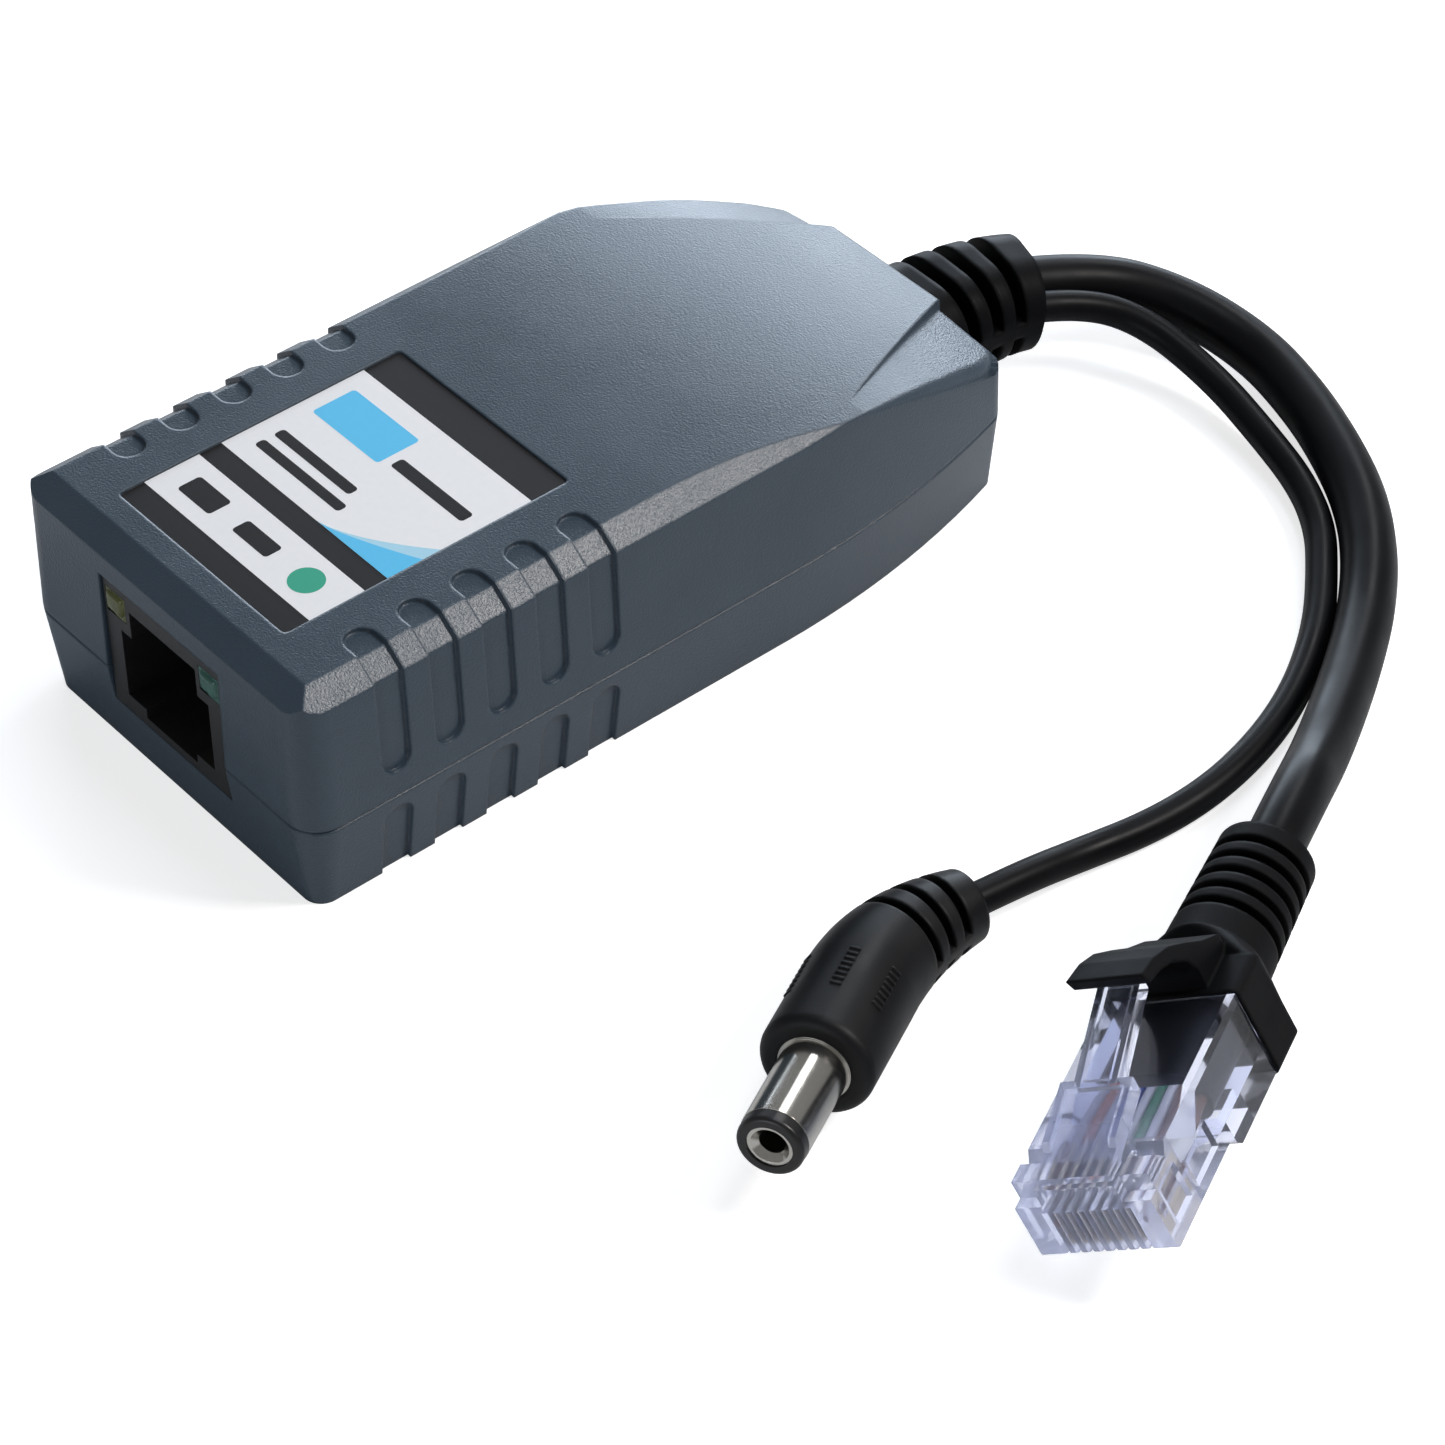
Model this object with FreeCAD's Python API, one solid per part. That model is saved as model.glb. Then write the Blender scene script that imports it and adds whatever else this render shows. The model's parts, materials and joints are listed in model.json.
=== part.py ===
# Power-over-data splitter: a two-shell moulded housing with a modular jack in front,
# and two short cords behind that end in a modular plug and a coaxial power plug.
# X is across the width, Y runs from the jack to the cords, Z is up, millimetres.
# The origin is the centre of the housing's footprint, on the surface that it stands on.
import FreeCAD, Part
import math
import os

Vector = FreeCAD.Vector
Placement = FreeCAD.Placement
Rotation = FreeCAD.Rotation

# Housing
housing_length = 77.8
housing_half_width = 19.45
housing_height = 22.5
parting_height = 8.7
wall = 1.8
front_corner_radius = 3.0
rear_corner_radius = 2.6
taper_length = 27.8
side_taper_radius = 90.0
upper_side_draft = 0.4
upper_end_draft = 0.25
lower_side_draft = 1.25
lower_front_draft = 0.95
side_bevel_width = 2.45
side_bevel_height = 1.85
front_bevel_length = 2.35
front_bevel_height = 1.8
top_fall_start = 37.0
rear_drop = 0.29191 * housing_height
rear_edge_radius = 1.1
facet_edge_radius = 0.9
parting_bevel = 0.22

# Lowered facets beside the tongue at the rear of the top
step_length = 20.3
step_depth = 1.25
step_tilt = 0.11
tongue_front_half_width = housing_half_width - 2.35
tongue_rear_half_width = 6.6

# Lap joint between the shells
lip_height = 1.2
lip_thickness = 0.85
lip_clearance = 0.1

# Grip grooves on both sides
groove_count = 5
groove_start = 7.4
groove_pitch = 5.31
groove_width = 2.86
groove_depth = 0.4
groove_inner_end = housing_half_width - 5.25
groove_lower_end = 2.5
groove_gap_below_parting = 1.3

# Label in its recess
label_half_width = housing_half_width - 8.25
label_start = 4.7
label_length = 28.4
label_recess = 0.3
label_thickness = 0.16
label_gap = 0.1
label_corner = 0.5

# Circuit board and the posts that carry it
board_thickness = 1.6
board_side_gap = 5.05
board_end_gap = 7.9
board_front_gap = 0.8
post_height = 1.8
post_radius = 2.2
pin_radius = 0.8
pin_clearance = 0.1
post_side_gap = 2.4
post_front_gap = 5.2
post_rear_gap = 3.0
board_half_width = housing_half_width - board_side_gap
board_end = housing_length / 2 - board_end_gap
board_top = wall + post_height + board_thickness

# Modular jack, which stands on the board and keeps the same room under the top
jack_width = 15.9
jack_headroom = 2.15
jack_height = housing_height - wall - jack_headroom - board_top
jack_share = jack_height / 13.35
jack_length = 21.3
jack_recess = 0.4
jack_fit = 0.15
socket_width = 11.9
socket_floor = 1.7 * jack_share
socket_height = 7.0 * jack_share
socket_depth = 15.0
latch_slot_width = 7.0
latch_slot_depth = 0.95
contact_chamber_width = 9.0
contact_chamber_height = 2.8 * jack_share
contact_pitch = 1.02
contact_count = 8
contact_width = 0.46
contact_thickness = 0.3
led_width = 2.7
led_height = 2.6 * jack_share
led_length = 5.0
led_side_wall = 0.25
led_top_wall = 0.9
led_rounding = 0.68
jack_rear = jack_recess + jack_length - housing_length / 2

# Parts on the board shrink and grow with the room that the housing leaves them
room_width = board_half_width / 14.4
room_length = (board_end - jack_rear) / 48.2
room_height = (housing_height - wall - board_top) / 15.5
room_round = min(room_width, room_length, 1.0)

# Chips: place across, distance behind the jack, length, width, height, pins on a side, pin pitch
chips = {
    "data_transformer": [(0.0, 14.0, 11.0, 9.6, 5.6, 8, 1.27)],
    "bridge_rectifiers": [(-7.4, 5.2, 4.4, 3.8, 2.5, 2, 2.54), (-1.0, 5.2, 4.4, 3.8, 2.5, 2, 2.54)],
    "controller_chip": [(10.5, 11.2, 4.9, 3.9, 1.7, 4, 1.27)],
    "optocoupler": [(11.2, 25.7, 4.6, 4.4, 3.4, 2, 2.54)],
    "output_diode": [(0.5, 38.7, 2.6, 4.4, 2.3, 1, 1.0)],
}

# Capacitors and inductor: place across, distance behind the jack, radius, height
cans = {
    "input_capacitor": (-9.2, 24.7, 4.0, 11.5),
    "output_capacitor": (-8.5, 36.2, 3.15, 9.0),
}
inductor = (10.0, 37.7, 3.6, 5.4)

# Power transformer
transformer_x = 2.0 * room_width
transformer_y = jack_rear + 26.2 * room_length
core_width = 12.8 * room_width
core_depth = 6.0 * room_length
core_height = 11.0 * room_height
core_leg = 2.2 * room_width
core_window_height = 6.6 * room_height
core_limb_radius = 2.0 * room_round
bobbin_flange = 0.8
bobbin_base = 1.4
bobbin_reach = 6.2 * room_length
bobbin_tube_radius = core_limb_radius + 0.7
winding_radius = 3.9 * room_round

# Cable gland, centred in the rear wall's height
rear_share = (housing_height - rear_drop) / 15.932
gland_x = 1.6
gland_z = 8.6 * rear_share
gland_root_width = 12.2
gland_root_height = 10.6 * rear_share
gland_tip_width = 10.9
gland_tip_height = 9.2
gland_corner = 4.3
gland_neck_step = 0.9
gland_flange_width = 15.0
gland_flange_height = 9.0 * rear_share
gland_flange_length = 2.2
gland_fit = 0.05
gland_flange_gap = 0.15
gland_slot_depth = 1.7
gland_slot_width = 1.4
gland_slot_stations = (0.225, 0.455, 0.69)
gland_web = 1.5

# Leads from the gland to the board
lead_drop = 2.8
lead_pad_gap = 2.4
data_lead_start = -3.0
data_lead_pitch = 1.15
data_lead_diameter = 0.9
power_lead_places = (6.7, 8.3)
power_lead_diameter = 1.2

# Cords: diameters, and routes from the gland to the plugs, laid out for a housing that ends at 38.9
ethernet_diameter = 4.9
power_diameter = 2.8
ethernet_route = [
    (1.74, 51.98, 7.75),
    (4.16, 59.84, 6.33),
    (10.18, 65.22, 4.21),
    (18.21, 66.89, 2.73),
    (25.87, 65.05, 2.46),
    (32.42, 62.34, 2.52),
    (38.81, 58.92, 2.51),
    (44.45, 54.3, 2.49),
    (49.27, 48.84, 2.49),
    (53.47, 42.94, 3.06),
    (57.4, 36.95, 4.16),
    (61.27, 30.68, 5.44),
    (65.39, 23.64, 7.97),
    (68.62, 17.06, 7.85),
]
power_route = [
    (5.632, 50.847, 8.109),
    (7.132, 55.718, 7.229),
    (11.47, 59.54, 5.54),
    (19.27, 60.56, 3.26),
    (26.87, 59.19, 2.21),
    (33.11, 57.51, 1.67),
    (38.33, 54.61, 1.47),
    (42.58, 50.46, 1.46),
    (46.68, 45.98, 1.47),
    (50.12, 40.94, 1.47),
    (52.86, 35.55, 1.47),
    (54.71, 29.74, 1.47),
    (55.69, 23.72, 1.51),
    (55.45, 17.61, 1.44),
    (54.2, 11.36, 1.52),
    (54.1, 5.04, 2.94),
    (53.9, -1.2, 3.62),
]
bend_share = 0.45
routed_rear = 38.9

# Coaxial power plug, along its own Y from the tip to the cord
barrel_radius = 2.75
barrel_length = 9.5
barrel_wall = 0.25
barrel_grip = 3.0
barrel_root_radius = 2.95
insulator_tip = 1.2
insulator_tip_radius = 2.7
insulator_wall = 0.61
coaxial_fit = 0.02
centre_bore_radius = 1.05
centre_bore_depth = 10.0
centre_funnel_radius = 1.55
centre_funnel_depth = 0.55
overmould_radius = 4.65
overmould_shoulder = 0.9
overmould_straight = 9.8
relief_bend = 30.0
relief_reach = 6.0
relief_tail = 2.1
relief_tip_radius = 3.1
relief_slot_count = 3
relief_slot_pitch = 2.5
relief_slot_width = 0.95
relief_slot_depth = 1.25
relief_cap = 2.3
relief_web = 1.1

# Modular plug, along its own Y from the nose to the cord, contacts below, latch above
plug_roll = -28.6
plug_width = 11.68
plug_height = 6.6
plug_nose_length = 11.2
plug_step = 1.3
plug_length = 21.0
plug_cavity_width = 9.0
plug_cavity_low = 0.7
plug_cavity_high = 5.2
plug_cavity_start = 8.8
wire_row_height = 2.4
wire_diameter = 0.94
wire_row_start = 1.5
blade_thickness = 0.34
blade_start = 0.5
blade_length = 5.6
blade_recess = 0.35
blade_top = 4.3
blade_slot_clearance = 0.08
latch_base_width = 6.3
latch_lever_width = 3.7
latch_thickness = 1.0
latch_shoulder = 8.4
latch_end = 16.6
latch_root_height = 6.2
latch_shoulder_height = 8.1
latch_end_height = 10.7
latch_rib = 0.65
latch_rib_height = 0.45
nose_notch_length = 1.1
nose_notch_low = 5.0
nose_groove_start = 3.0
nose_groove_width = 1.6
nose_groove_depth = 0.9
side_pocket_depth = 0.55
side_pockets = ((1.5, 4.4, 1.2, 4.6), (5.6, 9.8, 1.0, 3.6))
jacket_width = 8.4
jacket_height = 4.2
jacket_end = 12.9

# Boot over the modular plug
boot_skirt = 0.27
boot_start = 20.3
collar_end = 24.6
boot_length = 39.5
boot_axis_height = 3.8
boot_root_radius = 4.5
boot_tip_radius = 4.05
boot_slot_count = 5
boot_slot_pitch = 1.85
boot_slot_width = 0.85
boot_slot_depth = 0.8
boot_cap = 1.6
guard_width = 6.6
guard_thickness = 1.15
guard_tip = 14.8
guard_tip_height = 13.7

front = -housing_length / 2
rear = housing_length / 2
far = 60.0
fall_length = housing_length - top_fall_start
top_fall_radius = (fall_length ** 2 + rear_drop ** 2) / (2 * rear_drop)
ethernet_route = [(x, y + rear - routed_rear, z) for x, y, z in ethernet_route]
power_route = [(x, y + rear - routed_rear, z) for x, y, z in power_route]


def box(x0, x1, y0, y1, z0, z1):
    return Part.makeBox(x1 - x0, y1 - y0, z1 - z0, Vector(x0, y0, z0))


def cylinder(radius, height, base, axis):
    return Part.makeCylinder(radius, height, Vector(*base), Vector(*axis))


def prism(points, direction):
    corners = [Vector(*p) for p in points]
    face = Part.Face(Part.makePolygon(corners + corners[:1]))
    return face.extrude(Vector(*direction))


def fused(shapes):
    whole = shapes[0]
    for shape in shapes[1:]:
        whole = whole.fuse(shape)
    return whole.removeSplitter()


def mirrored(shape):
    return shape.mirror(Vector(0, 0, 0), Vector(1, 0, 0))


def on_circle(centre, radius, angle, z):
    return Vector(centre[0] + radius * math.cos(angle), centre[1] + radius * math.sin(angle), z)


def arc_edge(centre, radius, start, end, z):
    middle = (start + end) / 2
    ends = [on_circle(centre, radius, a, z) for a in (start, middle, end)]
    return Part.Arc(*ends).toShape()


def mirrored_edge(edge):
    return edge.mirror(Vector(0, 0, 0), Vector(1, 0, 0))


# Plan outline at one height: straight sides, then long arcs that draw in towards the rear
def plan_wire(z, side_inset, front_inset, rear_inset):
    half = housing_half_width - side_inset
    y_front = front + front_inset
    y_rear = rear - rear_inset
    corner = max(front_corner_radius - side_inset, 0.4)
    rear_corner = max(rear_corner_radius - side_inset, 0.4)
    y_taper = rear - taper_length
    radius = side_taper_radius - side_inset
    taper_centre = (half - radius, y_taper)
    rise = y_rear - rear_corner - y_taper
    corner_x = taper_centre[0] + math.sqrt((radius - rear_corner) ** 2 - rise ** 2)
    corner_centre = (corner_x, y_rear - rear_corner)
    taper_angle = math.atan2(rise, corner_x - taper_centre[0])
    right = [
        arc_edge((half - corner, y_front + corner), corner, -math.pi / 2, 0.0, z),
        Part.LineSegment(Vector(half, y_front + corner, z), Vector(half, y_taper, z)).toShape(),
        arc_edge(taper_centre, radius, 0.0, taper_angle, z),
        arc_edge(corner_centre, rear_corner, taper_angle, math.pi / 2, z),
    ]
    left = [mirrored_edge(edge) for edge in reversed(right)]
    front_line = Part.LineSegment(Vector(corner - half, y_front, z), Vector(half - corner, y_front, z))
    rear_line = Part.LineSegment(Vector(corner_x, y_rear, z), Vector(-corner_x, y_rear, z))
    edges = [front_line.toShape()] + right + [rear_line.toShape()] + left
    return Part.Wire(Part.__sortEdges__(edges))


def top_height(y, inset):
    fall_start = front + top_fall_start
    radius = top_fall_radius - inset
    return housing_height - top_fall_radius + math.sqrt(radius ** 2 - (y - fall_start) ** 2)


# Side view: bevelled front edge, flat top, then the long fall to the rear
def side_profile(inset):
    half_angle = math.atan2(front_bevel_height, front_bevel_length) / 2
    y_bevel = front + front_bevel_length + inset * math.tan(half_angle)
    slope = front_bevel_height / front_bevel_length
    top = housing_height - inset
    fall_start = front + top_fall_start
    radius = top_fall_radius - inset
    centre = Vector(-far, fall_start, housing_height - top_fall_radius)
    end_angle = math.asin((rear + 5.0 - fall_start) / radius)
    places = []
    for angle in (0.0, end_angle / 2, end_angle):
        places.append(centre + Vector(0, radius * math.sin(angle), radius * math.cos(angle)))
    low_front = Vector(-far, y_bevel - 12.0, top - 12.0 * slope)
    corner = Vector(-far, y_bevel, top)
    bottom_front = Vector(-far, y_bevel - 12.0, -5.0)
    bottom_rear = Vector(-far, places[2].y, -5.0)
    edges = [
        Part.LineSegment(bottom_front, low_front).toShape(),
        Part.LineSegment(low_front, corner).toShape(),
        Part.LineSegment(corner, places[0]).toShape(),
        Part.Arc(*places).toShape(),
        Part.LineSegment(places[2], bottom_rear).toShape(),
        Part.LineSegment(bottom_rear, bottom_front).toShape(),
    ]
    return Part.Face(Part.Wire(edges)).extrude(Vector(2 * far, 0, 0))


# Front view: the bevels along both upper sides
def cross_profile(inset):
    half_angle = math.atan2(side_bevel_height, side_bevel_width) / 2
    x_bevel = housing_half_width - side_bevel_width - inset * math.tan(half_angle)
    slope = side_bevel_height / side_bevel_width
    top = housing_height - inset
    outline = [
        (-x_bevel - 12.0, -far, -5.0),
        (-x_bevel - 12.0, -far, top - 12.0 * slope),
        (-x_bevel, -far, top),
        (x_bevel, -far, top),
        (x_bevel + 12.0, -far, top - 12.0 * slope),
        (x_bevel + 12.0, -far, -5.0),
    ]
    return prism(outline, (0, 2 * far, 0))


# Height of a facet beside the tongue, at a share of its run to the rear
def facet_height(share, inset):
    y = rear - step_length * (1 - share)
    return top_height(y, inset) + 0.03 - step_depth * share ** 1.3


# What is taken off the top beside the tongue, on the right, deepest at the rear edge
def facet_cutter(inset):
    sections = []
    for share in (0.0, 0.35, 0.7, 1.05):
        y = rear - step_length * (1 - share)
        edge_x = tongue_front_half_width + share * (tongue_rear_half_width - tongue_front_half_width)
        edge_x = edge_x - inset
        inner_z = facet_height(share, inset)
        outer_x = 26.0
        outer_z = inner_z - step_tilt * share * (outer_x - edge_x)
        corners = [
            Vector(edge_x, y, inner_z),
            Vector(outer_x, y, outer_z),
            Vector(outer_x, y, housing_height + 6.0),
            Vector(edge_x, y, housing_height + 6.0),
        ]
        sections.append(Part.makePolygon(corners + corners[:1]))
    return Part.makeLoft(sections, True, False)


def upper_form(inset):
    top = housing_height + 1.0
    rise = (top - parting_height) / (housing_height - parting_height)
    low = plan_wire(parting_height, inset, inset, inset)
    side = inset + upper_side_draft * rise
    end = inset + upper_end_draft * rise
    high = plan_wire(top, side, end, end)
    form = Part.makeLoft([low, high], True, True)
    form = form.common(side_profile(inset)).common(cross_profile(inset))
    cutter = facet_cutter(inset)
    return form.cut(cutter).cut(mirrored(cutter))


def lower_form(inset, bottom):
    share = (parting_height - bottom) / parting_height
    side = inset + lower_side_draft * share
    end = inset + lower_front_draft * share
    low = plan_wire(bottom, side, end, inset)
    high = plan_wire(parting_height, inset, inset, inset)
    return Part.makeLoft([low, high], True, True)


def groove_starts():
    return [front + groove_start + i * groove_pitch for i in range(groove_count)]


# A slot seen from the side: a band with a round end, from z_round towards z_open
def side_slot(y0, z_round, z_open):
    half = groove_width / 2
    inner = housing_half_width - 3.95
    reach = housing_half_width + 3.0 - inner
    round_end = cylinder(half, reach, (inner, y0 + half, z_round), (1, 0, 0))
    band = box(inner, inner + reach, y0, y0 + groove_width, min(z_round, z_open), max(z_round, z_open))
    return round_end.fuse(band)


def top_slot(y0):
    half = groove_width / 2
    x_round = groove_inner_end + half
    base = housing_height - 3.0
    round_end = cylinder(half, 6.0, (x_round, y0 + half, base), (0, 0, 1))
    return round_end.fuse(box(x_round, far, y0, y0 + groove_width, base, base + 6.0))


def upper_grooves():
    core = upper_form(groove_depth)
    half = groove_width / 2
    low_end = parting_height + groove_lower_end + half
    slots = []
    for y0 in groove_starts():
        slot = side_slot(y0, low_end, housing_height + 3.0).fuse(top_slot(y0))
        slots.append(slot.cut(core))
    return Part.makeCompound(slots + [mirrored(slot) for slot in slots])


def lower_grooves():
    core = lower_form(groove_depth, 0.0)
    top_end = parting_height - groove_gap_below_parting - groove_width / 2
    slots = []
    for y0 in groove_starts():
        slots.append(side_slot(y0, top_end, -1.0).cut(core))
    return Part.makeCompound(slots + [mirrored(slot) for slot in slots])


def rounded_outline(width, height, radius, placement):
    radius = min(radius, width / 2 - 0.02, height / 2 - 0.02)
    plate = Part.makePlane(width, height, Vector(-width / 2, -height / 2, 0))
    block = plate.extrude(Vector(0, 0, 1))
    upright = [e for e in block.Edges if abs(e.tangentAt(e.FirstParameter).z) > 0.9]
    block = block.makeFillet(radius, upright)
    face = min(block.Faces, key=lambda f: f.CenterOfMass.z)
    wire = face.OuterWire
    wire.Placement = placement.multiply(wire.Placement)
    return wire


# Placement whose Z runs along the given direction, with X kept level
def facing(point, direction):
    along = Vector(*direction).normalize()
    level = Vector(along.y, -along.x, 0).normalize()
    up = along.cross(level) * -1
    matrix = FreeCAD.Matrix(
        level.x, up.x, along.x, point[0],
        level.y, up.y, along.y, point[1],
        level.z, up.z, along.z, point[2],
        0, 0, 0, 1)
    return Placement(matrix)


def neck_form(grow, y0, y1):
    width = gland_root_width - 2 * gland_neck_step + 2 * grow
    height = gland_root_height - 2 * gland_neck_step + 2 * grow
    start = facing((gland_x, y0, gland_z), (0, 1, 0))
    outline = rounded_outline(width, height, gland_corner, start)
    return Part.Face(outline).extrude(Vector(0, y1 - y0, 0))


def jack_opening():
    half = jack_width / 2 + jack_fit
    low = board_top - jack_fit
    high = board_top + jack_height + jack_fit
    return box(-half, half, front - 2.0, front + wall + 2.4, low, high)


def lip_band(outer_inset, inner_inset, height):
    outer = Part.Face(plan_wire(parting_height, outer_inset, outer_inset, outer_inset))
    inner = Part.Face(plan_wire(parting_height, inner_inset, inner_inset, inner_inset))
    return outer.cut(inner).extrude(Vector(0, 0, height))


def parting_chamfer(direction):
    outer = plan_wire(parting_height, -0.5, -0.5, -0.5)
    edge = plan_wire(parting_height, parting_bevel, parting_bevel, parting_bevel)
    level = parting_height + direction * (parting_bevel + 0.5) * 0.8
    far_wire = plan_wire(level, -0.5, -0.5, -0.5)
    band = Part.Face(outer).extrude(Vector(0, 0, level - parting_height))
    cone = Part.makeLoft([edge, far_wire], True, True)
    return band.cut(cone)


def top_shell():
    form = upper_form(0.0)
    form = soften_rear(form)
    cavity = upper_form(wall)
    shell = form.cut(cavity)
    rebate = lip_band(wall - lip_thickness - lip_clearance, wall + 0.5, lip_height + lip_clearance)
    shell = shell.cut(rebate)
    shell = shell.cut(upper_grooves())
    shell = shell.cut(label_form(label_recess, 0.0, 2.0))
    shell = shell.cut(jack_opening())
    shell = shell.cut(neck_form(gland_fit, rear - 6.0, rear + 4.0))
    return shell.cut(parting_chamfer(1))


def bottom_shell():
    form = lower_form(0.0, 0.0)
    cavity = lower_form(wall, wall)
    shell = form.cut(cavity)
    lip = lip_band(wall - lip_thickness, wall, lip_height)
    shell = shell.fuse(lip)
    shell = shell.cut(lower_grooves())
    shell = shell.cut(jack_opening())
    shell = shell.cut(neck_form(gland_fit, rear - 6.0, rear + 4.0))
    shell = shell.cut(parting_chamfer(-1))
    for x, y in post_places():
        post = cylinder(post_radius, post_height, (x, y, wall), (0, 0, 1))
        pin_top = post_height + board_thickness + 0.6
        pin = cylinder(pin_radius, pin_top, (x, y, wall), (0, 0, 1))
        shell = shell.fuse(post).fuse(pin)
    return shell.removeSplitter()


def post_places():
    x = board_half_width - post_side_gap
    y_front = jack_rear + post_front_gap * room_length
    y_rear = board_end - post_rear_gap
    return [(-x, y_front), (-x, y_rear), (x, y_front), (x, y_rear)]


# Rounds the tongue's rear edge, and the rear edges of the facets beside it
def soften_rear(form):
    place = Vector(0.0, rear - 0.1, top_height(rear, 0.0))
    edge = min(form.Edges, key=lambda e: (middle_of(e) - place).Length)
    form = form.makeFillet(rear_edge_radius, [edge])
    cutter = facet_rounding()
    return form.cut(cutter).cut(mirrored(cutter))


# What a rounding takes off the right facet's rear edge: the corner outside a cylinder along it
def facet_rounding():
    radius = facet_edge_radius
    near, end = facet_height(0.95, 0.0), facet_height(1.0, 0.0)
    slope = (end - near) / (0.05 * step_length)
    fall = math.atan(-slope)
    rise = (end - parting_height) / (housing_height - parting_height)
    wall_y = rear - upper_end_draft * rise
    y = wall_y - radius
    z = end + slope * (y - rear) - radius / math.cos(fall)
    start = tongue_rear_half_width
    along = Vector(1, 0, -step_tilt)
    reach = radius + 3.0
    corner = prism([
        (start, y, z),
        (start, y + reach * math.sin(fall), z + reach * math.cos(fall)),
        (start, rear + reach, end + reach),
        (start, rear + reach, z),
    ], tuple(along * 14.0))
    return corner.cut(Part.makeCylinder(radius, 18.0, Vector(start, y, z) - along * 2, along))


def middle_of(edge):
    return edge.valueAt((edge.FirstParameter + edge.LastParameter) / 2)


def label_form(depth, gap, height):
    half = label_half_width - gap
    y0 = front + label_start + gap
    y1 = front + label_start + label_length - gap
    plate = box(-half, half, y0, y1, housing_height - depth, housing_height - depth + height)
    upright = [e for e in plate.Edges if abs(e.tangentAt(e.FirstParameter).z) > 0.9]
    return plate.makeFillet(label_corner, upright)


def label():
    return label_form(label_recess, label_gap, label_thickness)


# Modular jack: latch slot below, contacts hanging from the ceiling, a light in each upper corner
def jack_body():
    half = jack_width / 2
    base = board_top
    y0 = front + jack_recess
    y1 = y0 + jack_length
    body = box(-half, half, y0, y1, base, base + jack_height)
    floor = base + socket_floor
    socket = box(-socket_width / 2, socket_width / 2, y0 - 1, y0 + socket_depth, floor, floor + socket_height)
    slot_half = latch_slot_width / 2
    slot = box(-slot_half, slot_half, y0 - 1, y0 + socket_depth, floor - latch_slot_depth, floor)
    body = body.cut(socket).cut(slot)
    chamber_half = contact_chamber_width / 2
    ceiling = floor + socket_height
    chamber_end = y0 + socket_depth + 2.5
    chamber = box(-chamber_half, chamber_half, y0 - 1, chamber_end, ceiling - 0.5, ceiling + contact_chamber_height)
    tail_slot = box(-chamber_half, chamber_half, chamber_end - 1.6, chamber_end, base - 1, ceiling + 1.0)
    body = body.cut(chamber).cut(tail_slot)
    for side in (-1, 1):
        outer = side * (half - led_side_wall)
        inner = outer - side * led_width
        top = base + jack_height - led_top_wall
        channel = box(min(outer, inner), max(outer, inner), y0 - 1, y1 + 1, top - led_height, top)
        body = body.cut(channel)
    return body.removeSplitter()


def led_light(side):
    half = jack_width / 2
    base = board_top
    y0 = front + jack_recess
    centre = side * (half - led_side_wall - led_width / 2)
    gap = 0.05
    top = base + jack_height - led_top_wall - gap
    low = top - led_height + 2 * gap
    x0 = centre - led_width / 2 + gap
    x1 = centre + led_width / 2 - gap
    lens = box(x0, x1, y0, y0 + led_length, low, top)
    rounded_x = x0
    for edge in lens.Edges:
        middle = edge.CenterOfMass
        if abs(middle.x - rounded_x) < 0.01 and abs(middle.z - low) < 0.01:
            lens = lens.makeFillet(led_rounding * (top - low), [edge])
            break
    legs = []
    leg = 0.5
    for offset in (-0.64, 0.64):
        x = centre + offset
        y_back = y0 + jack_length + 0.9
        z_leg = (low + top) / 2
        legs.append(box(x - leg / 2, x + leg / 2, y0 + led_length, y_back, z_leg, z_leg + leg))
        legs.append(box(x - leg / 2, x + leg / 2, y_back - leg, y_back, base - board_thickness - 1.0, z_leg + leg))
    return fused([lens] + legs)


# A flat strip that follows points in the YZ plane, with mitred corners
def strip(points, thickness, x0, width):
    left, right = [], []
    count = len(points)
    for i, (y, z) in enumerate(points):
        before = points[max(i - 1, 0)]
        after = points[min(i + 1, count - 1)]
        first = math.atan2(z - before[1], y - before[0]) if i > 0 else None
        second = math.atan2(after[1] - z, after[0] - y) if i < count - 1 else None
        first = second if first is None else first
        second = first if second is None else second
        mean_x = math.cos(first) + math.cos(second)
        mean_y = math.sin(first) + math.sin(second)
        mean = math.atan2(mean_y, mean_x)
        spread = math.cos((second - first) / 2)
        offset = thickness / 2 / max(abs(spread), 0.4)
        left.append((x0, y - offset * math.sin(mean), z + offset * math.cos(mean)))
        right.append((x0, y + offset * math.sin(mean), z - offset * math.cos(mean)))
    return prism(left + right[::-1], (width, 0, 0))


def contact_x(index):
    return (index - (contact_count - 1) / 2) * contact_pitch


def jack_contact(index):
    base = board_top
    y0 = front + jack_recess
    ceiling = base + socket_floor + socket_height + contact_chamber_height
    tail_y = y0 + socket_depth + 1.7
    path = [
        (tail_y, base - board_thickness - 1.0),
        (tail_y, ceiling - 0.55),
        (y0 + 2.4, ceiling - 0.55),
        (y0 + 1.7, ceiling - 0.95),
        (y0 + 2.2, ceiling - 1.5),
        (y0 + 11.2, ceiling - 5.25),
    ]
    return strip(path, contact_thickness, contact_x(index) - contact_width / 2, contact_width)


def circuit_board():
    y0 = front + wall + board_front_gap
    low = wall + post_height
    board = box(-board_half_width, board_half_width, y0, board_end, low, low + board_thickness)
    holes = []
    for x, y in post_places():
        holes.append((x, y, pin_radius + pin_clearance))
    tail_y = front + jack_recess + socket_depth + 1.7
    for index in range(contact_count):
        holes.append((contact_x(index), tail_y, 0.38))
    leg_y = front + jack_recess + jack_length + 0.65
    led_x = jack_width / 2 - led_side_wall - led_width / 2
    for side in (-1, 1):
        for offset in (-0.64, 0.64):
            holes.append((side * led_x + offset, leg_y, 0.45))
    for x, y, radius in holes:
        board = board.cut(cylinder(radius, board_thickness + 2, (x, y, low - 1), (0, 0, 1)))
    return board


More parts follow.
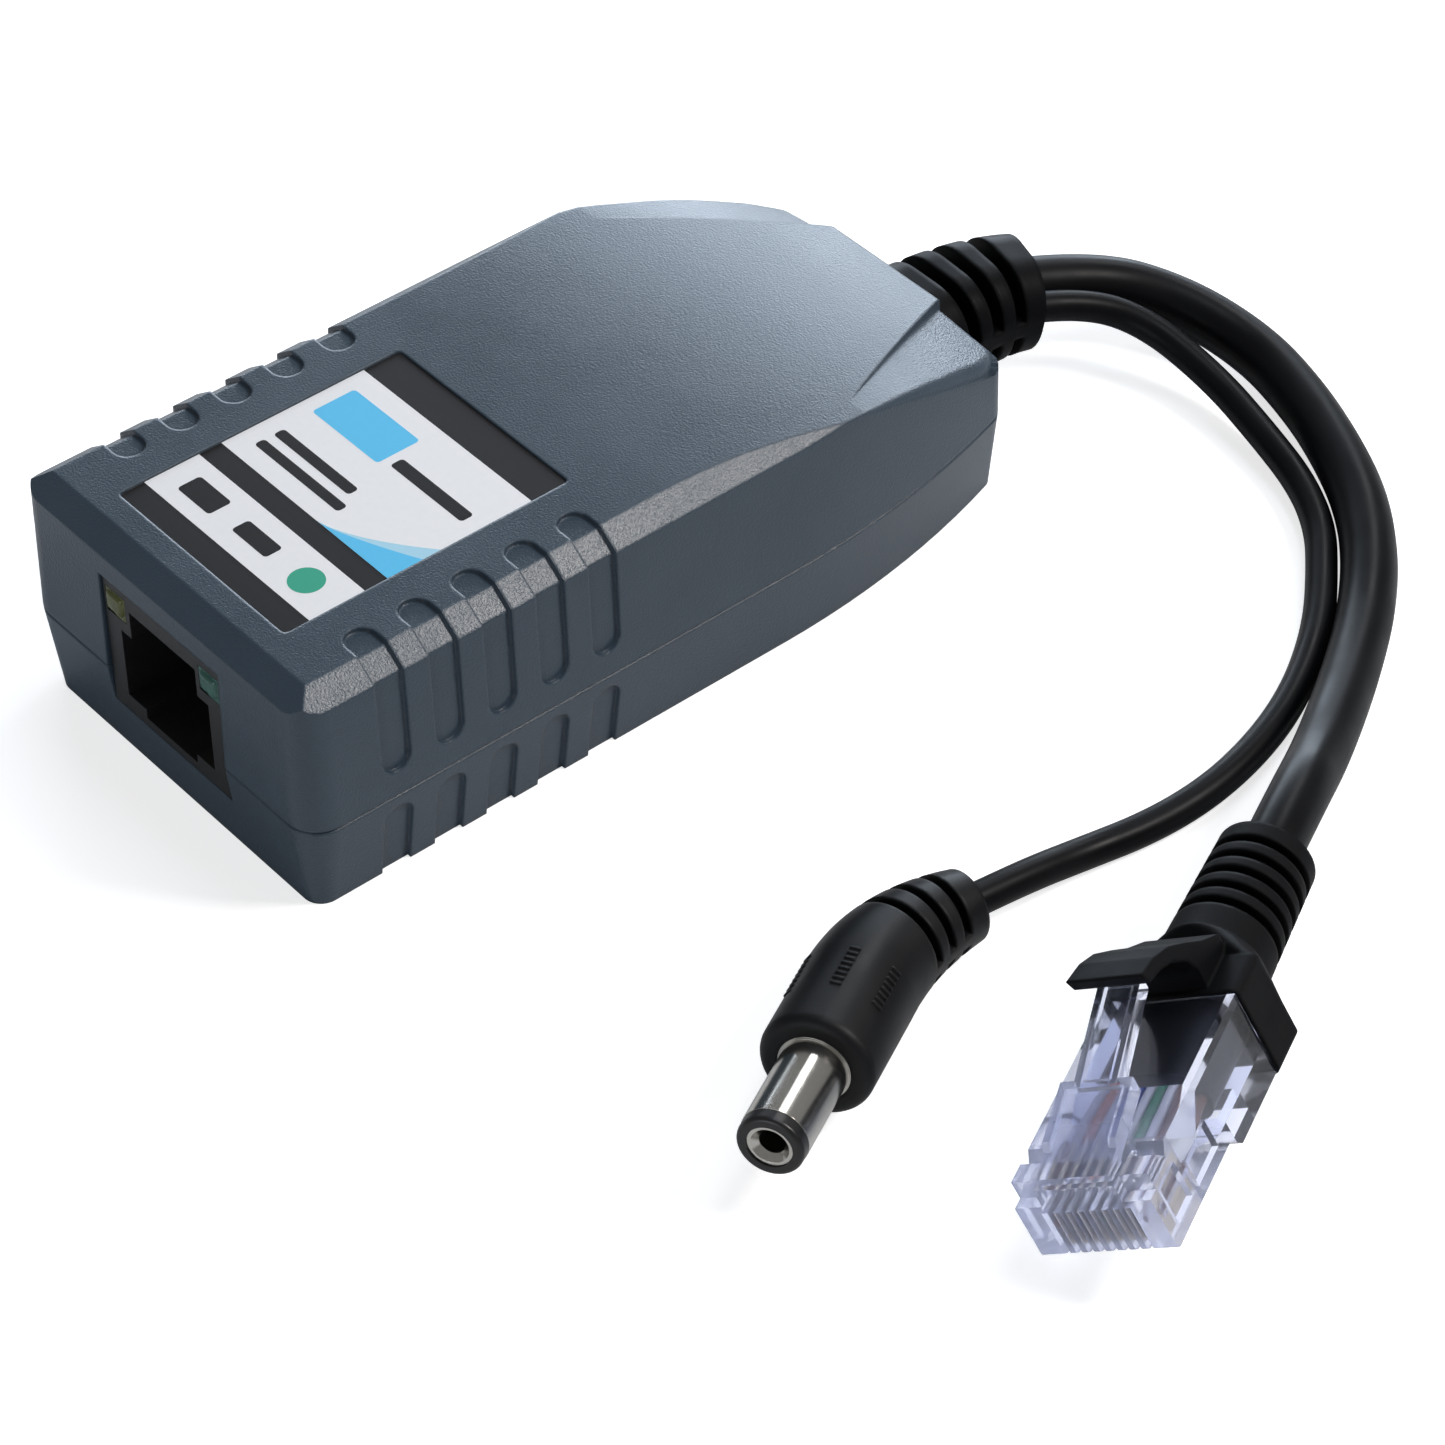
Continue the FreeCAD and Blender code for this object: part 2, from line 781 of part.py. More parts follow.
def board_place(across, behind):
    return across * room_width, jack_rear + behind * room_length


def chip(across, behind, length, width, height, pins, pitch):
    x, y = board_place(across, behind)
    z = board_top
    length = length * room_length
    width = width * room_width
    height = height * room_height
    pitch = pitch * room_length
    lift = 0.15
    body = box(x - width / 2, x + width / 2, y - length / 2, y + length / 2, z + lift, z + height)
    top = [e for e in body.Edges if abs(e.CenterOfMass.z - z - height) < 0.01]
    body = body.makeChamfer(0.25, top)
    pieces = [body]
    for i in range(pins):
        pin_y = y + (i - (pins - 1) / 2) * pitch
        for side in (-1, 1):
            inner = x + side * (width / 2 - 0.2)
            outer = x + side * (width / 2 + 0.9)
            knee = x + side * (width / 2 + 0.5)
            pieces.append(box(min(inner, knee), max(inner, knee), pin_y - 0.2, pin_y + 0.2, z + 0.7, z + 0.95))
            pieces.append(box(min(knee, outer), max(knee, outer), pin_y - 0.2, pin_y + 0.2, z, z + 0.95))
    return fused(pieces)


def can_capacitor(across, behind, radius, height):
    x, y = board_place(across, behind)
    z = board_top
    radius = radius * room_round
    height = height * room_height
    can = cylinder(radius, height, (x, y, z), (0, 0, 1))
    groove = Part.makeTorus(radius + 0.25, 0.5, Vector(x, y, z + 1.6), Vector(0, 0, 1))
    vents = box(x - radius * 0.6, x + radius * 0.6, y - 0.12, y + 0.12, z + height - 0.2, z + height + 1)
    return can.cut(groove).cut(vents)


def transformer_core():
    z = board_top + bobbin_base
    x0 = transformer_x - core_width / 2
    y0 = transformer_y - core_depth / 2
    core = box(x0, x0 + core_width, y0, y0 + core_depth, z, z + core_height)
    low = z + (core_height - core_window_height) / 2
    window = box(x0 + core_leg, x0 + core_width - core_leg, y0 - 1, y0 + core_depth + 1, low, low + core_window_height)
    limb = cylinder(core_limb_radius, core_window_height, (transformer_x, transformer_y, low), (0, 0, 1))
    return core.cut(window).fuse(limb).removeSplitter()


def transformer_bobbin():
    z = board_top
    low = z + bobbin_base + (core_height - core_window_height) / 2
    centre = (transformer_x, transformer_y)
    half_y = bobbin_reach
    half_x = (core_width - 2 * core_leg) / 2 - 0.1
    pieces = []
    for level in (low + 0.05, low + core_window_height - bobbin_flange - 0.05):
        y0 = centre[1] - half_y
        y1 = centre[1] + half_y
        pieces.append(box(centre[0] - half_x, centre[0] + half_x, y0, y1, level, level + bobbin_flange))
    middle = cylinder(bobbin_tube_radius, core_window_height - 0.1, (centre[0], centre[1], low + 0.05), (0, 0, 1))
    pieces.append(middle)
    for side in (-1, 1):
        inner = centre[1] + side * (core_depth / 2 + 0.15)
        outer = centre[1] + side * half_y
        y0, y1 = min(inner, outer), max(inner, outer)
        pieces.append(box(centre[0] - half_x, centre[0] + half_x, y0, y1, z, low + 0.5))
    bore = cylinder(core_limb_radius + 0.05, core_height + 4, (centre[0], centre[1], z), (0, 0, 1))
    return fused(pieces).cut(bore)


def transformer_winding():
    low = board_top + bobbin_base + (core_height - core_window_height) / 2
    gap = 0.1
    height = core_window_height - 2 * bobbin_flange - 2 * gap - 0.1
    base = (transformer_x, transformer_y, low + 0.05 + bobbin_flange + gap)
    outer = cylinder(winding_radius, height, base, (0, 0, 1))
    return outer.cut(cylinder(bobbin_tube_radius + 0.05, height, base, (0, 0, 1)))


def chip_group(name):
    bodies = [chip(*sizes) for sizes in chips[name]]
    return bodies[0] if len(bodies) == 1 else Part.makeCompound(bodies)


def output_inductor():
    across, behind, radius, height = inductor
    x, y = board_place(across, behind)
    radius = radius * room_round
    height = height * room_height
    z_neck = board_top + 0.2 * height
    drum = cylinder(radius, height, (x, y, board_top), (0, 0, 1))
    neck = cylinder(radius, 0.6 * height, (x, y, z_neck), (0, 0, 1))
    neck = neck.cut(cylinder(0.8 * radius, 0.6 * height, (x, y, z_neck), (0, 0, 1)))
    return drum.cut(neck)


# Path of straight runs joined by tangent arcs, each as large as its two runs allow
def bent_path(points, name=None):
    corners = [Vector(*p) for p in points]
    edges = []
    start = corners[0]
    radii = []
    for i in range(1, len(corners) - 1):
        into = corners[i] - corners[i - 1]
        out = corners[i + 1] - corners[i]
        turn = into.getAngle(out)
        cut = bend_share * min(into.Length, out.Length)
        radius = cut / math.tan(turn / 2)
        radii.append(radius)
        unit_in = Vector(into).normalize()
        unit_out = Vector(out).normalize()
        arc_start = corners[i] - unit_in * cut
        arc_end = corners[i] + unit_out * cut
        bisector = (unit_out - unit_in).normalize()
        centre = corners[i] + bisector * (radius / math.cos(turn / 2))
        arc_middle = centre - bisector * radius
        edges.append(Part.LineSegment(start, arc_start).toShape())
        edges.append(Part.Arc(arc_start, arc_middle, arc_end).toShape())
        start = arc_end
    edges.append(Part.LineSegment(start, corners[-1]).toShape())
    wire = Part.Wire(edges)
    if name:
        print(name, "radii", [round(r, 1) for r in radii], "length", round(wire.Length, 1))
    return wire


def tube(points, diameter, name=None):
    path = bent_path(points, name)
    direction = Vector(*points[1]) - Vector(*points[0])
    ring = Part.Wire(Part.makeCircle(diameter / 2, Vector(*points[0]), direction))
    solid = Part.Solid(path.makePipeShell([ring], True, False))
    if solid.Volume < 0:
        solid.reverse()
    if name:
        expected = math.pi * (diameter / 2) ** 2 * path.Length
        print(name, "volume", round(solid.Volume, 1), "section times length", round(expected, 1))
    return solid


# Leads from the gland's inner face to the board
def lead(x, diameter):
    y_start = gland_flange_front()
    z_start = gland_z + 0.4 * rear_share
    points = [
        (x, y_start, z_start),
        (x, y_start - lead_drop, z_start),
        (x, board_end - lead_pad_gap, board_top + 0.36 * diameter),
    ]
    return tube(points, diameter)


def gland_flange_front():
    return rear - wall - gland_flange_gap - gland_flange_length


def data_leads():
    places = [data_lead_start + data_lead_pitch * i for i in range(contact_count)]
    return Part.makeCompound([lead(x, data_lead_diameter) for x in places])


def power_leads():
    return Part.makeCompound([lead(x, power_lead_diameter) for x in power_lead_places])


# Gland: inner flange, neck in the wall, then a tapered, slotted relief that leans with the cords
def gland_direction():
    first, second = ethernet_route[0], ethernet_route[1]
    return Vector(*second) - Vector(*first)


def gland_tip():
    first = Vector(*ethernet_route[0])
    other = Vector(*power_route[0])
    across = Vector(other - first).normalize()
    low = -ethernet_diameter / 2
    high = (other - first).Length + power_diameter / 2
    return first + across * ((low + high) / 2 - 0.35)


def gland_place(share):
    root = Vector(gland_x, rear, gland_z)
    tip = gland_tip()
    reach = (tip - root).Length
    begin = Vector(0, reach, 0)
    finish = Vector(gland_direction()).normalize() * reach
    s = share
    place = root * (2 * s ** 3 - 3 * s ** 2 + 1) + begin * (s ** 3 - 2 * s ** 2 + s)
    place = place + tip * (3 * s ** 2 - 2 * s ** 3) + finish * (s ** 3 - s ** 2)
    slope = root * (6 * s ** 2 - 6 * s) + begin * (3 * s ** 2 - 4 * s + 1)
    slope = slope + tip * (6 * s - 6 * s ** 2) + finish * (3 * s ** 2 - 2 * s)
    return place, slope


def gland_section(share, shrink):
    place, slope = gland_place(share)
    width = gland_root_width + share * (gland_tip_width - gland_root_width) - 2 * shrink
    height = gland_root_height + share * (gland_tip_height - gland_root_height) - 2 * shrink
    return rounded_outline(width, height, gland_corner - shrink * 0.4, facing(place, slope))


def cable_gland():
    flange_end = rear - wall - gland_flange_gap
    flange_start = gland_flange_front()
    flange_at = facing((gland_x, flange_start, gland_z), (0, 1, 0))
    flange = rounded_outline(gland_flange_width, gland_flange_height, 2.0, flange_at)
    gland = Part.Face(flange).extrude(Vector(0, flange_end - flange_start, 0))
    gland = gland.fuse(neck_form(0.0, flange_end - 0.01, rear + 0.05))
    relief = Part.makeLoft([gland_section(s, 0.0) for s in (0.0, 0.33, 0.67, 1.0)], True, False)
    seat = box(-far, far, rear - 3.0, rear + gland_fit, 0.0, far)
    gland = gland.fuse(relief.cut(seat))
    length = (gland_tip() - Vector(gland_x, rear, gland_z)).Length
    for station in gland_slot_stations:
        span = gland_slot_width / length
        outer = Part.makeLoft([gland_section(s, -2.0) for s in (station, station + span)], True, True)
        core = Part.makeLoft([gland_section(s, gland_slot_depth) for s in (station, station + span)], True, True)
        place, slope = gland_place(station + span / 2)
        web = box(-far, far, -gland_web / 2, gland_web / 2, -3.0, 3.0)
        web.Placement = facing(place, slope)
        gland = gland.cut(outer.cut(core).cut(web))
    return gland.removeSplitter()


# Placement of a plug on the end of its cord: local Y runs into the cord
def cord_end_frame(route, roll):
    end = Vector(*route[-1])
    into = (Vector(*route[-2]) - end).normalize()
    level = Vector(into.y, -into.x, 0).normalize()
    up = level.cross(into)
    matrix = FreeCAD.Matrix(
        level.x, into.x, up.x, end.x,
        level.y, into.y, up.y, end.y,
        level.z, into.z, up.z, end.z,
        0, 0, 0, 1)
    return Placement(matrix).multiply(Placement(Vector(0, 0, 0), Rotation(Vector(0, 1, 0), roll)))


# Coaxial power plug
def power_plug_frame():
    bend = math.radians(relief_bend)
    reach = relief_reach + relief_tail
    shift_x = reach * math.sin(bend)
    end_y = relief_corner() + reach * math.cos(bend)
    turned = Placement(Vector(shift_x, end_y, 0), Rotation(Vector(0, 0, 1), -relief_bend))
    return cord_end_frame(power_route, 0.0).multiply(turned.inverse())


def relief_corner():
    return barrel_length + overmould_straight + relief_reach


def relief_place(distance):
    bend = math.radians(relief_bend)
    start = barrel_length + overmould_straight
    radius = relief_reach / math.tan(bend / 2)
    along = min(max(distance, 0.0), radius * bend)
    angle = along / radius
    x = radius * (1 - math.cos(angle))
    y = start + radius * math.sin(angle)
    rest = distance - along
    place = Vector(x + rest * math.sin(angle), y + rest * math.cos(angle), 0)
    return place, Vector(math.sin(angle), math.cos(angle), 0)


def relief_length():
    bend = math.radians(relief_bend)
    return relief_reach / math.tan(bend / 2) * bend + relief_tail


def relief_section(distance, shrink):
    place, slope = relief_place(distance)
    share = min(max(distance / relief_length(), 0.0), 1.0)
    radius = overmould_radius + share ** 1.6 * (relief_tip_radius - overmould_radius) - shrink
    return Part.Wire(Part.makeCircle(radius, place, slope))


def relief_disc(distance, width, shrink):
    place, slope = relief_place(distance)
    share = min(max(distance / relief_length(), 0.0), 1.0)
    radius = overmould_radius + share ** 1.6 * (relief_tip_radius - overmould_radius) - shrink
    return Part.makeCylinder(radius, width, place, slope)


def plug_overmould():
    body = cylinder(overmould_radius, overmould_straight, (0, barrel_length, 0), (0, 1, 0))
    shoulder = [e for e in body.Edges if abs(e.CenterOfMass.y - barrel_length) < 0.01]
    body = body.makeFillet(overmould_shoulder, shoulder)
    total = relief_length()
    shares = (0.0, 0.25, 0.5, 0.75, 1.0)
    relief = Part.makeLoft([relief_section(total * s, 0.0) for s in shares], True, False)
    body = body.fuse(relief)
    for i in range(relief_slot_count):
        distance = total - relief_cap - i * relief_slot_pitch - relief_slot_width
        ring = relief_disc(distance, relief_slot_width, -3.0)
        ring = ring.cut(relief_disc(distance, relief_slot_width, relief_slot_depth))
        place, slope = relief_place(distance)
        web = box(-far, far, -relief_web / 2, relief_web / 2, -4.0, 4.0)
        web.Placement = facing(place, slope)
        body = body.cut(ring.cut(web))
    seat = cylinder(barrel_root_radius + coaxial_fit, barrel_grip + 0.1, (0, barrel_length - 0.1, 0), (0, 1, 0))
    return body.cut(seat).removeSplitter()


def plug_barrel():
    length = barrel_length + barrel_grip - insulator_tip
    outer = cylinder(barrel_radius, length, (0, insulator_tip, 0), (0, 1, 0))
    outer = outer.fuse(cylinder(barrel_root_radius, barrel_grip, (0, barrel_length, 0), (0, 1, 0)))
    inner = cylinder(barrel_radius - barrel_wall, length, (0, insulator_tip, 0), (0, 1, 0))
    return outer.cut(inner)


def insulator_outer():
    return barrel_radius - barrel_wall - coaxial_fit


def plug_insulator():
    cap = cylinder(insulator_tip_radius, insulator_tip, (0, 0, 0), (0, 1, 0))
    nose = [e for e in cap.Edges if abs(e.CenterOfMass.y) < 0.01]
    cap = cap.makeFillet(0.4, nose)
    sleeve = cylinder(insulator_outer(), barrel_length + barrel_grip, (0, 0, 0), (0, 1, 0))
    bore = cylinder(insulator_outer() - insulator_wall, far, (0, -1, 0), (0, 1, 0))
    return cap.fuse(sleeve.cut(cylinder(far, insulator_tip / 2, (0, 0, 0), (0, 1, 0)))).cut(bore).removeSplitter()


def plug_centre_contact():
    radius = insulator_outer() - insulator_wall - coaxial_fit
    length = barrel_length + barrel_grip - 0.15
    body = cylinder(radius, length, (0, 0.15, 0), (0, 1, 0))
    bore = cylinder(centre_bore_radius, centre_bore_depth, (0, 0, 0), (0, 1, 0))
    mouth = Part.makeCone(
        centre_funnel_radius, centre_bore_radius, centre_funnel_depth, Vector(0, 0.15, 0), Vector(0, 1, 0))
    return body.cut(bore).cut(mouth)


# Modular plug
def modular_plug_frame():
    frame = cord_end_frame(ethernet_route, plug_roll)
    return frame.multiply(Placement(Vector(0, -boot_length, -boot_axis_height), Rotation()))


def plug_envelope(grow):
    half = plug_width / 2 + grow
    outline = [
        (-half, 0, 0),
        (-half, plug_nose_length, 0),
        (-half, plug_nose_length + plug_step, -plug_step - grow),
        (-half, plug_length, -plug_step - grow),
        (-half, plug_length, plug_height + grow),
        (-half, 0, plug_height + grow),
    ]
    return prism(outline, (2 * half, 0, 0))


def latch():
    half = latch_base_width / 2
    slope = (latch_shoulder_height - latch_root_height) / latch_shoulder
    base = prism([
        (-half, 0.5, plug_height - 0.8),
        (-half, 0.5, latch_root_height + latch_thickness),
        (-half, latch_shoulder, latch_shoulder_height + latch_thickness),
        (-half, latch_shoulder, latch_shoulder_height),
        (-half, 2.6, latch_root_height + 2.6 * slope),
        (-half, 2.2, plug_height - 0.8),
    ], (latch_base_width, 0, 0))
    half = latch_lever_width / 2
    lever = prism([
        (-half, latch_shoulder - 1.0, latch_shoulder_height - slope + 0.02),
        (-half, latch_shoulder - 1.0, latch_shoulder_height - slope + latch_thickness),
        (-half, latch_end, latch_end_height + latch_thickness),
        (-half, latch_end, latch_end_height + 0.2),
    ], (latch_lever_width, 0, 0))
    return fused([base, lever] + latch_ribs(slope))


# Raised edges of the latch, and the bar across it at the shoulder
def latch_ribs(slope):
    half = latch_base_width / 2
    top = latch_root_height + latch_thickness
    bar_start = latch_shoulder - latch_rib
    ribs = [prism([
        (-half, bar_start, top + bar_start * slope - 0.3),
        (-half, bar_start, top + bar_start * slope + latch_rib_height),
        (-half, latch_shoulder, top + latch_shoulder * slope + latch_rib_height),
        (-half, latch_shoulder, top + latch_shoulder * slope - 0.3),
    ], (latch_base_width, 0, 0))]
    lever_top = latch_shoulder_height - slope + latch_thickness
    for x in (-half, half - latch_rib):
        ribs.append(prism([
            (x, 2.6, top + 2.6 * slope - 0.3),
            (x, 3.2, top + 3.2 * slope + latch_rib_height),
            (x, latch_shoulder, top + latch_shoulder * slope + latch_rib_height),
            (x, latch_shoulder, top + latch_shoulder * slope - 0.3),
        ], (latch_rib, 0, 0)))
    half = latch_lever_width / 2
    for x in (-half, half - latch_rib):
        ribs.append(prism([
            (x, latch_shoulder - 0.5, lever_top - 0.1),
            (x, latch_shoulder - 0.5, lever_top + latch_rib_height + 0.2),
            (x, latch_end, latch_end_height + latch_thickness + latch_rib_height),
            (x, latch_end, latch_end_height + latch_thickness - 0.3),
        ], (latch_rib, 0, 0)))
    return ribs


def modular_plug_body():
    body = plug_envelope(0.0)
    nose = [e for e in body.Edges if e.CenterOfMass.y < 0.01 and e.CenterOfMass.z < 0.01]
    body = body.makeFillet(0.5, nose)
    half = plug_cavity_width / 2
    cavity = prism([
        (-half, plug_cavity_start, wire_row_height - wire_diameter / 2 - 0.05),
        (-half, plug_cavity_start + 2.5, plug_cavity_low),
        (-half, plug_length + 1, plug_cavity_low),
        (-half, plug_length + 1, plug_cavity_high),
        (-half, plug_cavity_start + 2.5, plug_cavity_high),
        (-half, plug_cavity_start, wire_row_height + wire_diameter / 2 + 0.05),
    ], (plug_cavity_width, 0, 0))
    row_half = contact_pitch * contact_count / 2 + 0.05
    row_low = wire_row_height - wire_diameter / 2 - 0.05
    row = box(-row_half, row_half, wire_row_start, plug_cavity_start + 0.1, row_low, row_low + wire_diameter + 0.1)
    body = body.cut(cavity).cut(row)
    for index in range(contact_count):
        x = contact_x(index)
        slot_half = blade_thickness / 2 + blade_slot_clearance
        y1 = blade_start + blade_length + 0.1
        body = body.cut(box(x - slot_half, x + slot_half, -1.0, y1, -1.0, blade_top + 0.05))
    crimp = box(-3.6, 3.6, 13.2, 16.4, -plug_step - 1, plug_cavity_low + 0.01)
    body = body.cut(crimp)
    for shape in nose_cuts():
        body = body.cut(shape).cut(mirrored(shape))
    return body.fuse(latch()).removeSplitter()


# Notch and groove beside the latch, and shallow pockets in the side, all on the right
def nose_cuts():
    inner = latch_base_width / 2 + 0.3
    outer = plug_width / 2 + 1
    cuts = [box(inner, outer, -1.0, nose_notch_length, nose_notch_low, plug_height + 1)]
    middle = nose_groove_start + nose_groove_width / 2
    cuts.append(prism([
        (inner, nose_groove_start, plug_height + 0.01),
        (inner, middle, plug_height - nose_groove_depth),
        (inner, nose_groove_start + nose_groove_width, plug_height + 0.01),
    ], (outer - inner, 0, 0)))
    for y0, y1, z0, z1 in side_pockets:
        cuts.append(box(plug_width / 2 - side_pocket_depth, outer, y0, y1, z0, z1))
    return cuts


def modular_contact(index):
    x = contact_x(index)
    half = blade_thickness / 2
    blade = box(x - half, x + half, blade_start, blade_start + blade_length, blade_recess, blade_top)
    corner = [
        e for e in blade.Edges
        if abs(e.CenterOfMass.y - blade_start) < 0.01 and abs(e.CenterOfMass.z - blade_recess) < 0.01]
    return blade.makeFillet(0.6, corner)


def inner_jacket():
    place = facing((0, jacket_end, (plug_cavity_low + plug_cavity_high) / 2), (0, 1, 0))
    outline = rounded_outline(jacket_width, jacket_height, 2.0, place)
    return Part.Face(outline).extrude(Vector(0, plug_length - jacket_end, 0))


def core_wire(index):
    x = contact_x(index)
    wire = tube([
        (x * 0.94, jacket_end, (plug_cavity_low + plug_cavity_high) / 2),
        (x * 0.94, jacket_end - 1.0, (plug_cavity_low + plug_cavity_high) / 2),
        (x, plug_cavity_start + 0.4, wire_row_height),
        (x, wire_row_start + 0.1, wire_row_height),
    ], wire_diameter)
    half = blade_thickness / 2 + 0.01
    return wire.cut(box(x - half, x + half, 0.0, blade_start + blade_length + 0.01, 0.0, blade_top))


def boot_radius(y):
    share = (y - collar_end) / (boot_length - collar_end)
    return boot_root_radius + share * (boot_tip_radius - boot_root_radius)


def latch_guard():
    half = guard_width / 2
    top = [(guard_tip, guard_tip_height), (17.2, 13.35), (19.3, 12.5), (21.4, 11.0), (23.2, 9.6), (25.4, 8.3)]
    outline = [(-half, y, z) for y, z in top]
    outline = outline + [(-half, 25.4, 6.0), (-half, boot_start + 0.6, 6.0)]
    under = [(21.0, 8.6), (20.4, 10.0), (18.9, 11.35), (17.0, 12.15), (guard_tip + 0.45, 12.5)]
    outline = outline + [(-half, y, z) for y, z in under]
    return prism(outline, (guard_width, 0, 0))


def modular_plug_boot():
    width = plug_width + 2 * boot_skirt
    height = plug_height + plug_step + 2 * boot_skirt
    middle = (plug_height - plug_step) / 2
    start = facing((0, boot_start, middle), (0, 1, 0))
    collar = Part.Face(rounded_outline(width, height, 0.6, start)).extrude(Vector(0, collar_end - boot_start, 0))
    neck_y = collar_end + 2.4
    blend = Part.makeLoft([
        rounded_outline(width - 0.2, height - 0.2, 1.2, facing((0, collar_end - 0.02, middle), (0, 1, 0))),
        rounded_outline(9.0, 9.0, 4.45, facing((0, neck_y, boot_axis_height), (0, 1, 0))),
    ], True, True)
    stem = Part.makeCone(
        boot_radius(neck_y), boot_tip_radius, boot_length - neck_y, Vector(0, neck_y, boot_axis_height), Vector(0, 1, 0))
    boot = collar.fuse(blend).fuse(stem).fuse(latch_guard())
    for i in range(boot_slot_count):
        y = boot_length - boot_cap - i * boot_slot_pitch - boot_slot_width
        ring = cylinder(8.0, boot_slot_width, (0, y, boot_axis_height), (0, 1, 0))
        core = cylinder(boot_radius(y) - boot_slot_depth, boot_slot_width, (0, y, boot_axis_height), (0, 1, 0))
        boot = boot.cut(ring.cut(core))
    return boot.cut(plug_envelope(0.0)).removeSplitter()


def placed(shape, frame):
    moved = shape.copy()
    moved.Placement = frame.multiply(moved.Placement)
    return moved


def build_parts():
    parts = {
        "top_shell": top_shell(),
        "bottom_shell": bottom_shell(),
        "label": label(),
        "jack_body": jack_body(),
        "led_left": led_light(-1),
        "led_right": led_light(1),
        "circuit_board": circuit_board(),
        "data_transformer": chip_group("data_transformer"),
        "transformer_core": transformer_core(),
        "transformer_bobbin": transformer_bobbin(),
        "transformer_winding": transformer_winding(),
        "input_capacitor": can_capacitor(*cans["input_capacitor"]),
        "output_capacitor": can_capacitor(*cans["output_capacitor"]),
        "bridge_rectifiers": chip_group("bridge_rectifiers"),
        "controller_chip": chip_group("controller_chip"),
        "optocoupler": chip_group("optocoupler"),
        "output_diode": chip_group("output_diode"),
        "output_inductor": output_inductor(),
        "data_leads": data_leads(),
        "power_leads": power_leads(),
        "cable_gland": cable_gland(),
        "ethernet_cord": tube(ethernet_route, ethernet_diameter, "ethernet_cord"),
        "power_cord": tube(power_route, power_diameter, "power_cord"),
    }
    for index in range(contact_count):
        parts["jack_contact_%d" % (index + 1)] = jack_contact(index)
    power_frame = power_plug_frame()
    parts["power_plug_overmould"] = placed(plug_overmould(), power_frame)
    parts["power_plug_barrel"] = placed(plug_barrel(), power_frame)
    parts["power_plug_insulator"] = placed(plug_insulator(), power_frame)
    parts["power_plug_contact"] = placed(plug_centre_contact(), power_frame)
    data_frame = modular_plug_frame()
    parts["modular_plug_body"] = placed(modular_plug_body(), data_frame)
    parts["modular_plug_boot"] = placed(modular_plug_boot(), data_frame)
    parts["inner_jacket"] = placed(inner_jacket(), data_frame)
    for index in range(contact_count):
        parts["modular_contact_%d" % (index + 1)] = placed(modular_contact(index), data_frame)
        parts["core_wire_%d" % (index + 1)] = placed(core_wire(index), data_frame)
    return parts


os.makedirs("parts", exist_ok=True)
for name, shape in build_parts().items():
    shape.exportStep("parts/%s.step" % name)
    print(name, len(shape.Solids), "solid(s)", round(shape.Volume, 2), "mm3", shape.isValid())
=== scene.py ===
import bpy
import json
import math
from mathutils import Matrix, Vector
from mathutils.bvhtree import BVHTree
from mathutils.interpolate import poly_3d_calc


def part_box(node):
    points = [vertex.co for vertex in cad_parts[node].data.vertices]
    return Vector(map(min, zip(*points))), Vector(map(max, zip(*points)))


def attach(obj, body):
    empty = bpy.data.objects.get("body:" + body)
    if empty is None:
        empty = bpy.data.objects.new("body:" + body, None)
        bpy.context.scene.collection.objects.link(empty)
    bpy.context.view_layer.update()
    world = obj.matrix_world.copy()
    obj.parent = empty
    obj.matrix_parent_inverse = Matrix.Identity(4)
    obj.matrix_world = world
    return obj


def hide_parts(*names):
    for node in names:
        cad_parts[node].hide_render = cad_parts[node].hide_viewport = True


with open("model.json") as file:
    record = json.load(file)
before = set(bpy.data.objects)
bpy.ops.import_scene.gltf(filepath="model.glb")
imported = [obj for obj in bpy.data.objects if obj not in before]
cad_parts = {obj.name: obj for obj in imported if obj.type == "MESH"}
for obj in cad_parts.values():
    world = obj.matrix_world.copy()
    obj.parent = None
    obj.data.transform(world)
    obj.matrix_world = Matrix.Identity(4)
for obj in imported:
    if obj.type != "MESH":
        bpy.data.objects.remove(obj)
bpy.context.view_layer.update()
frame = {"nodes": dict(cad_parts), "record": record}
nodes = frame["nodes"]
mm = 0.001
print("frame loaded,", len(nodes), "nodes")


# Colours are written as sRGB hex and turned to the linear values that shaders take
def linear(hexColour):
    channels = [int(hexColour[i:i + 2], 16) / 255 for i in (1, 3, 5)]
    steps = [c / 12.92 if c <= 0.04045 else ((c + 0.055) / 1.055) ** 2.4 for c in channels]
    return (*steps, 1.0)


# Adds one shader node, with its settings and its links
def addNode(tree, kind, settings=None, inputs=None, links=None):
    node = tree.nodes.new(kind)
    for name, value in (settings or {}).items():
        setattr(node, name, value)
    for name, value in (inputs or {}).items():
        node.inputs[name].default_value = value
    for name, socket in (links or {}).items():
        tree.links.new(socket, node.inputs[name])
    return node


def newMaterial(name, surface):
    material = bpy.data.materials.new(name)
    material.use_nodes = True
    tree = material.node_tree
    tree.nodes.clear()
    shader = addNode(tree, "ShaderNodeBsdfPrincipled", inputs=surface)
    addNode(tree, "ShaderNodeOutputMaterial", links={"Surface": shader.outputs["BSDF"]})
    return material, tree, shader


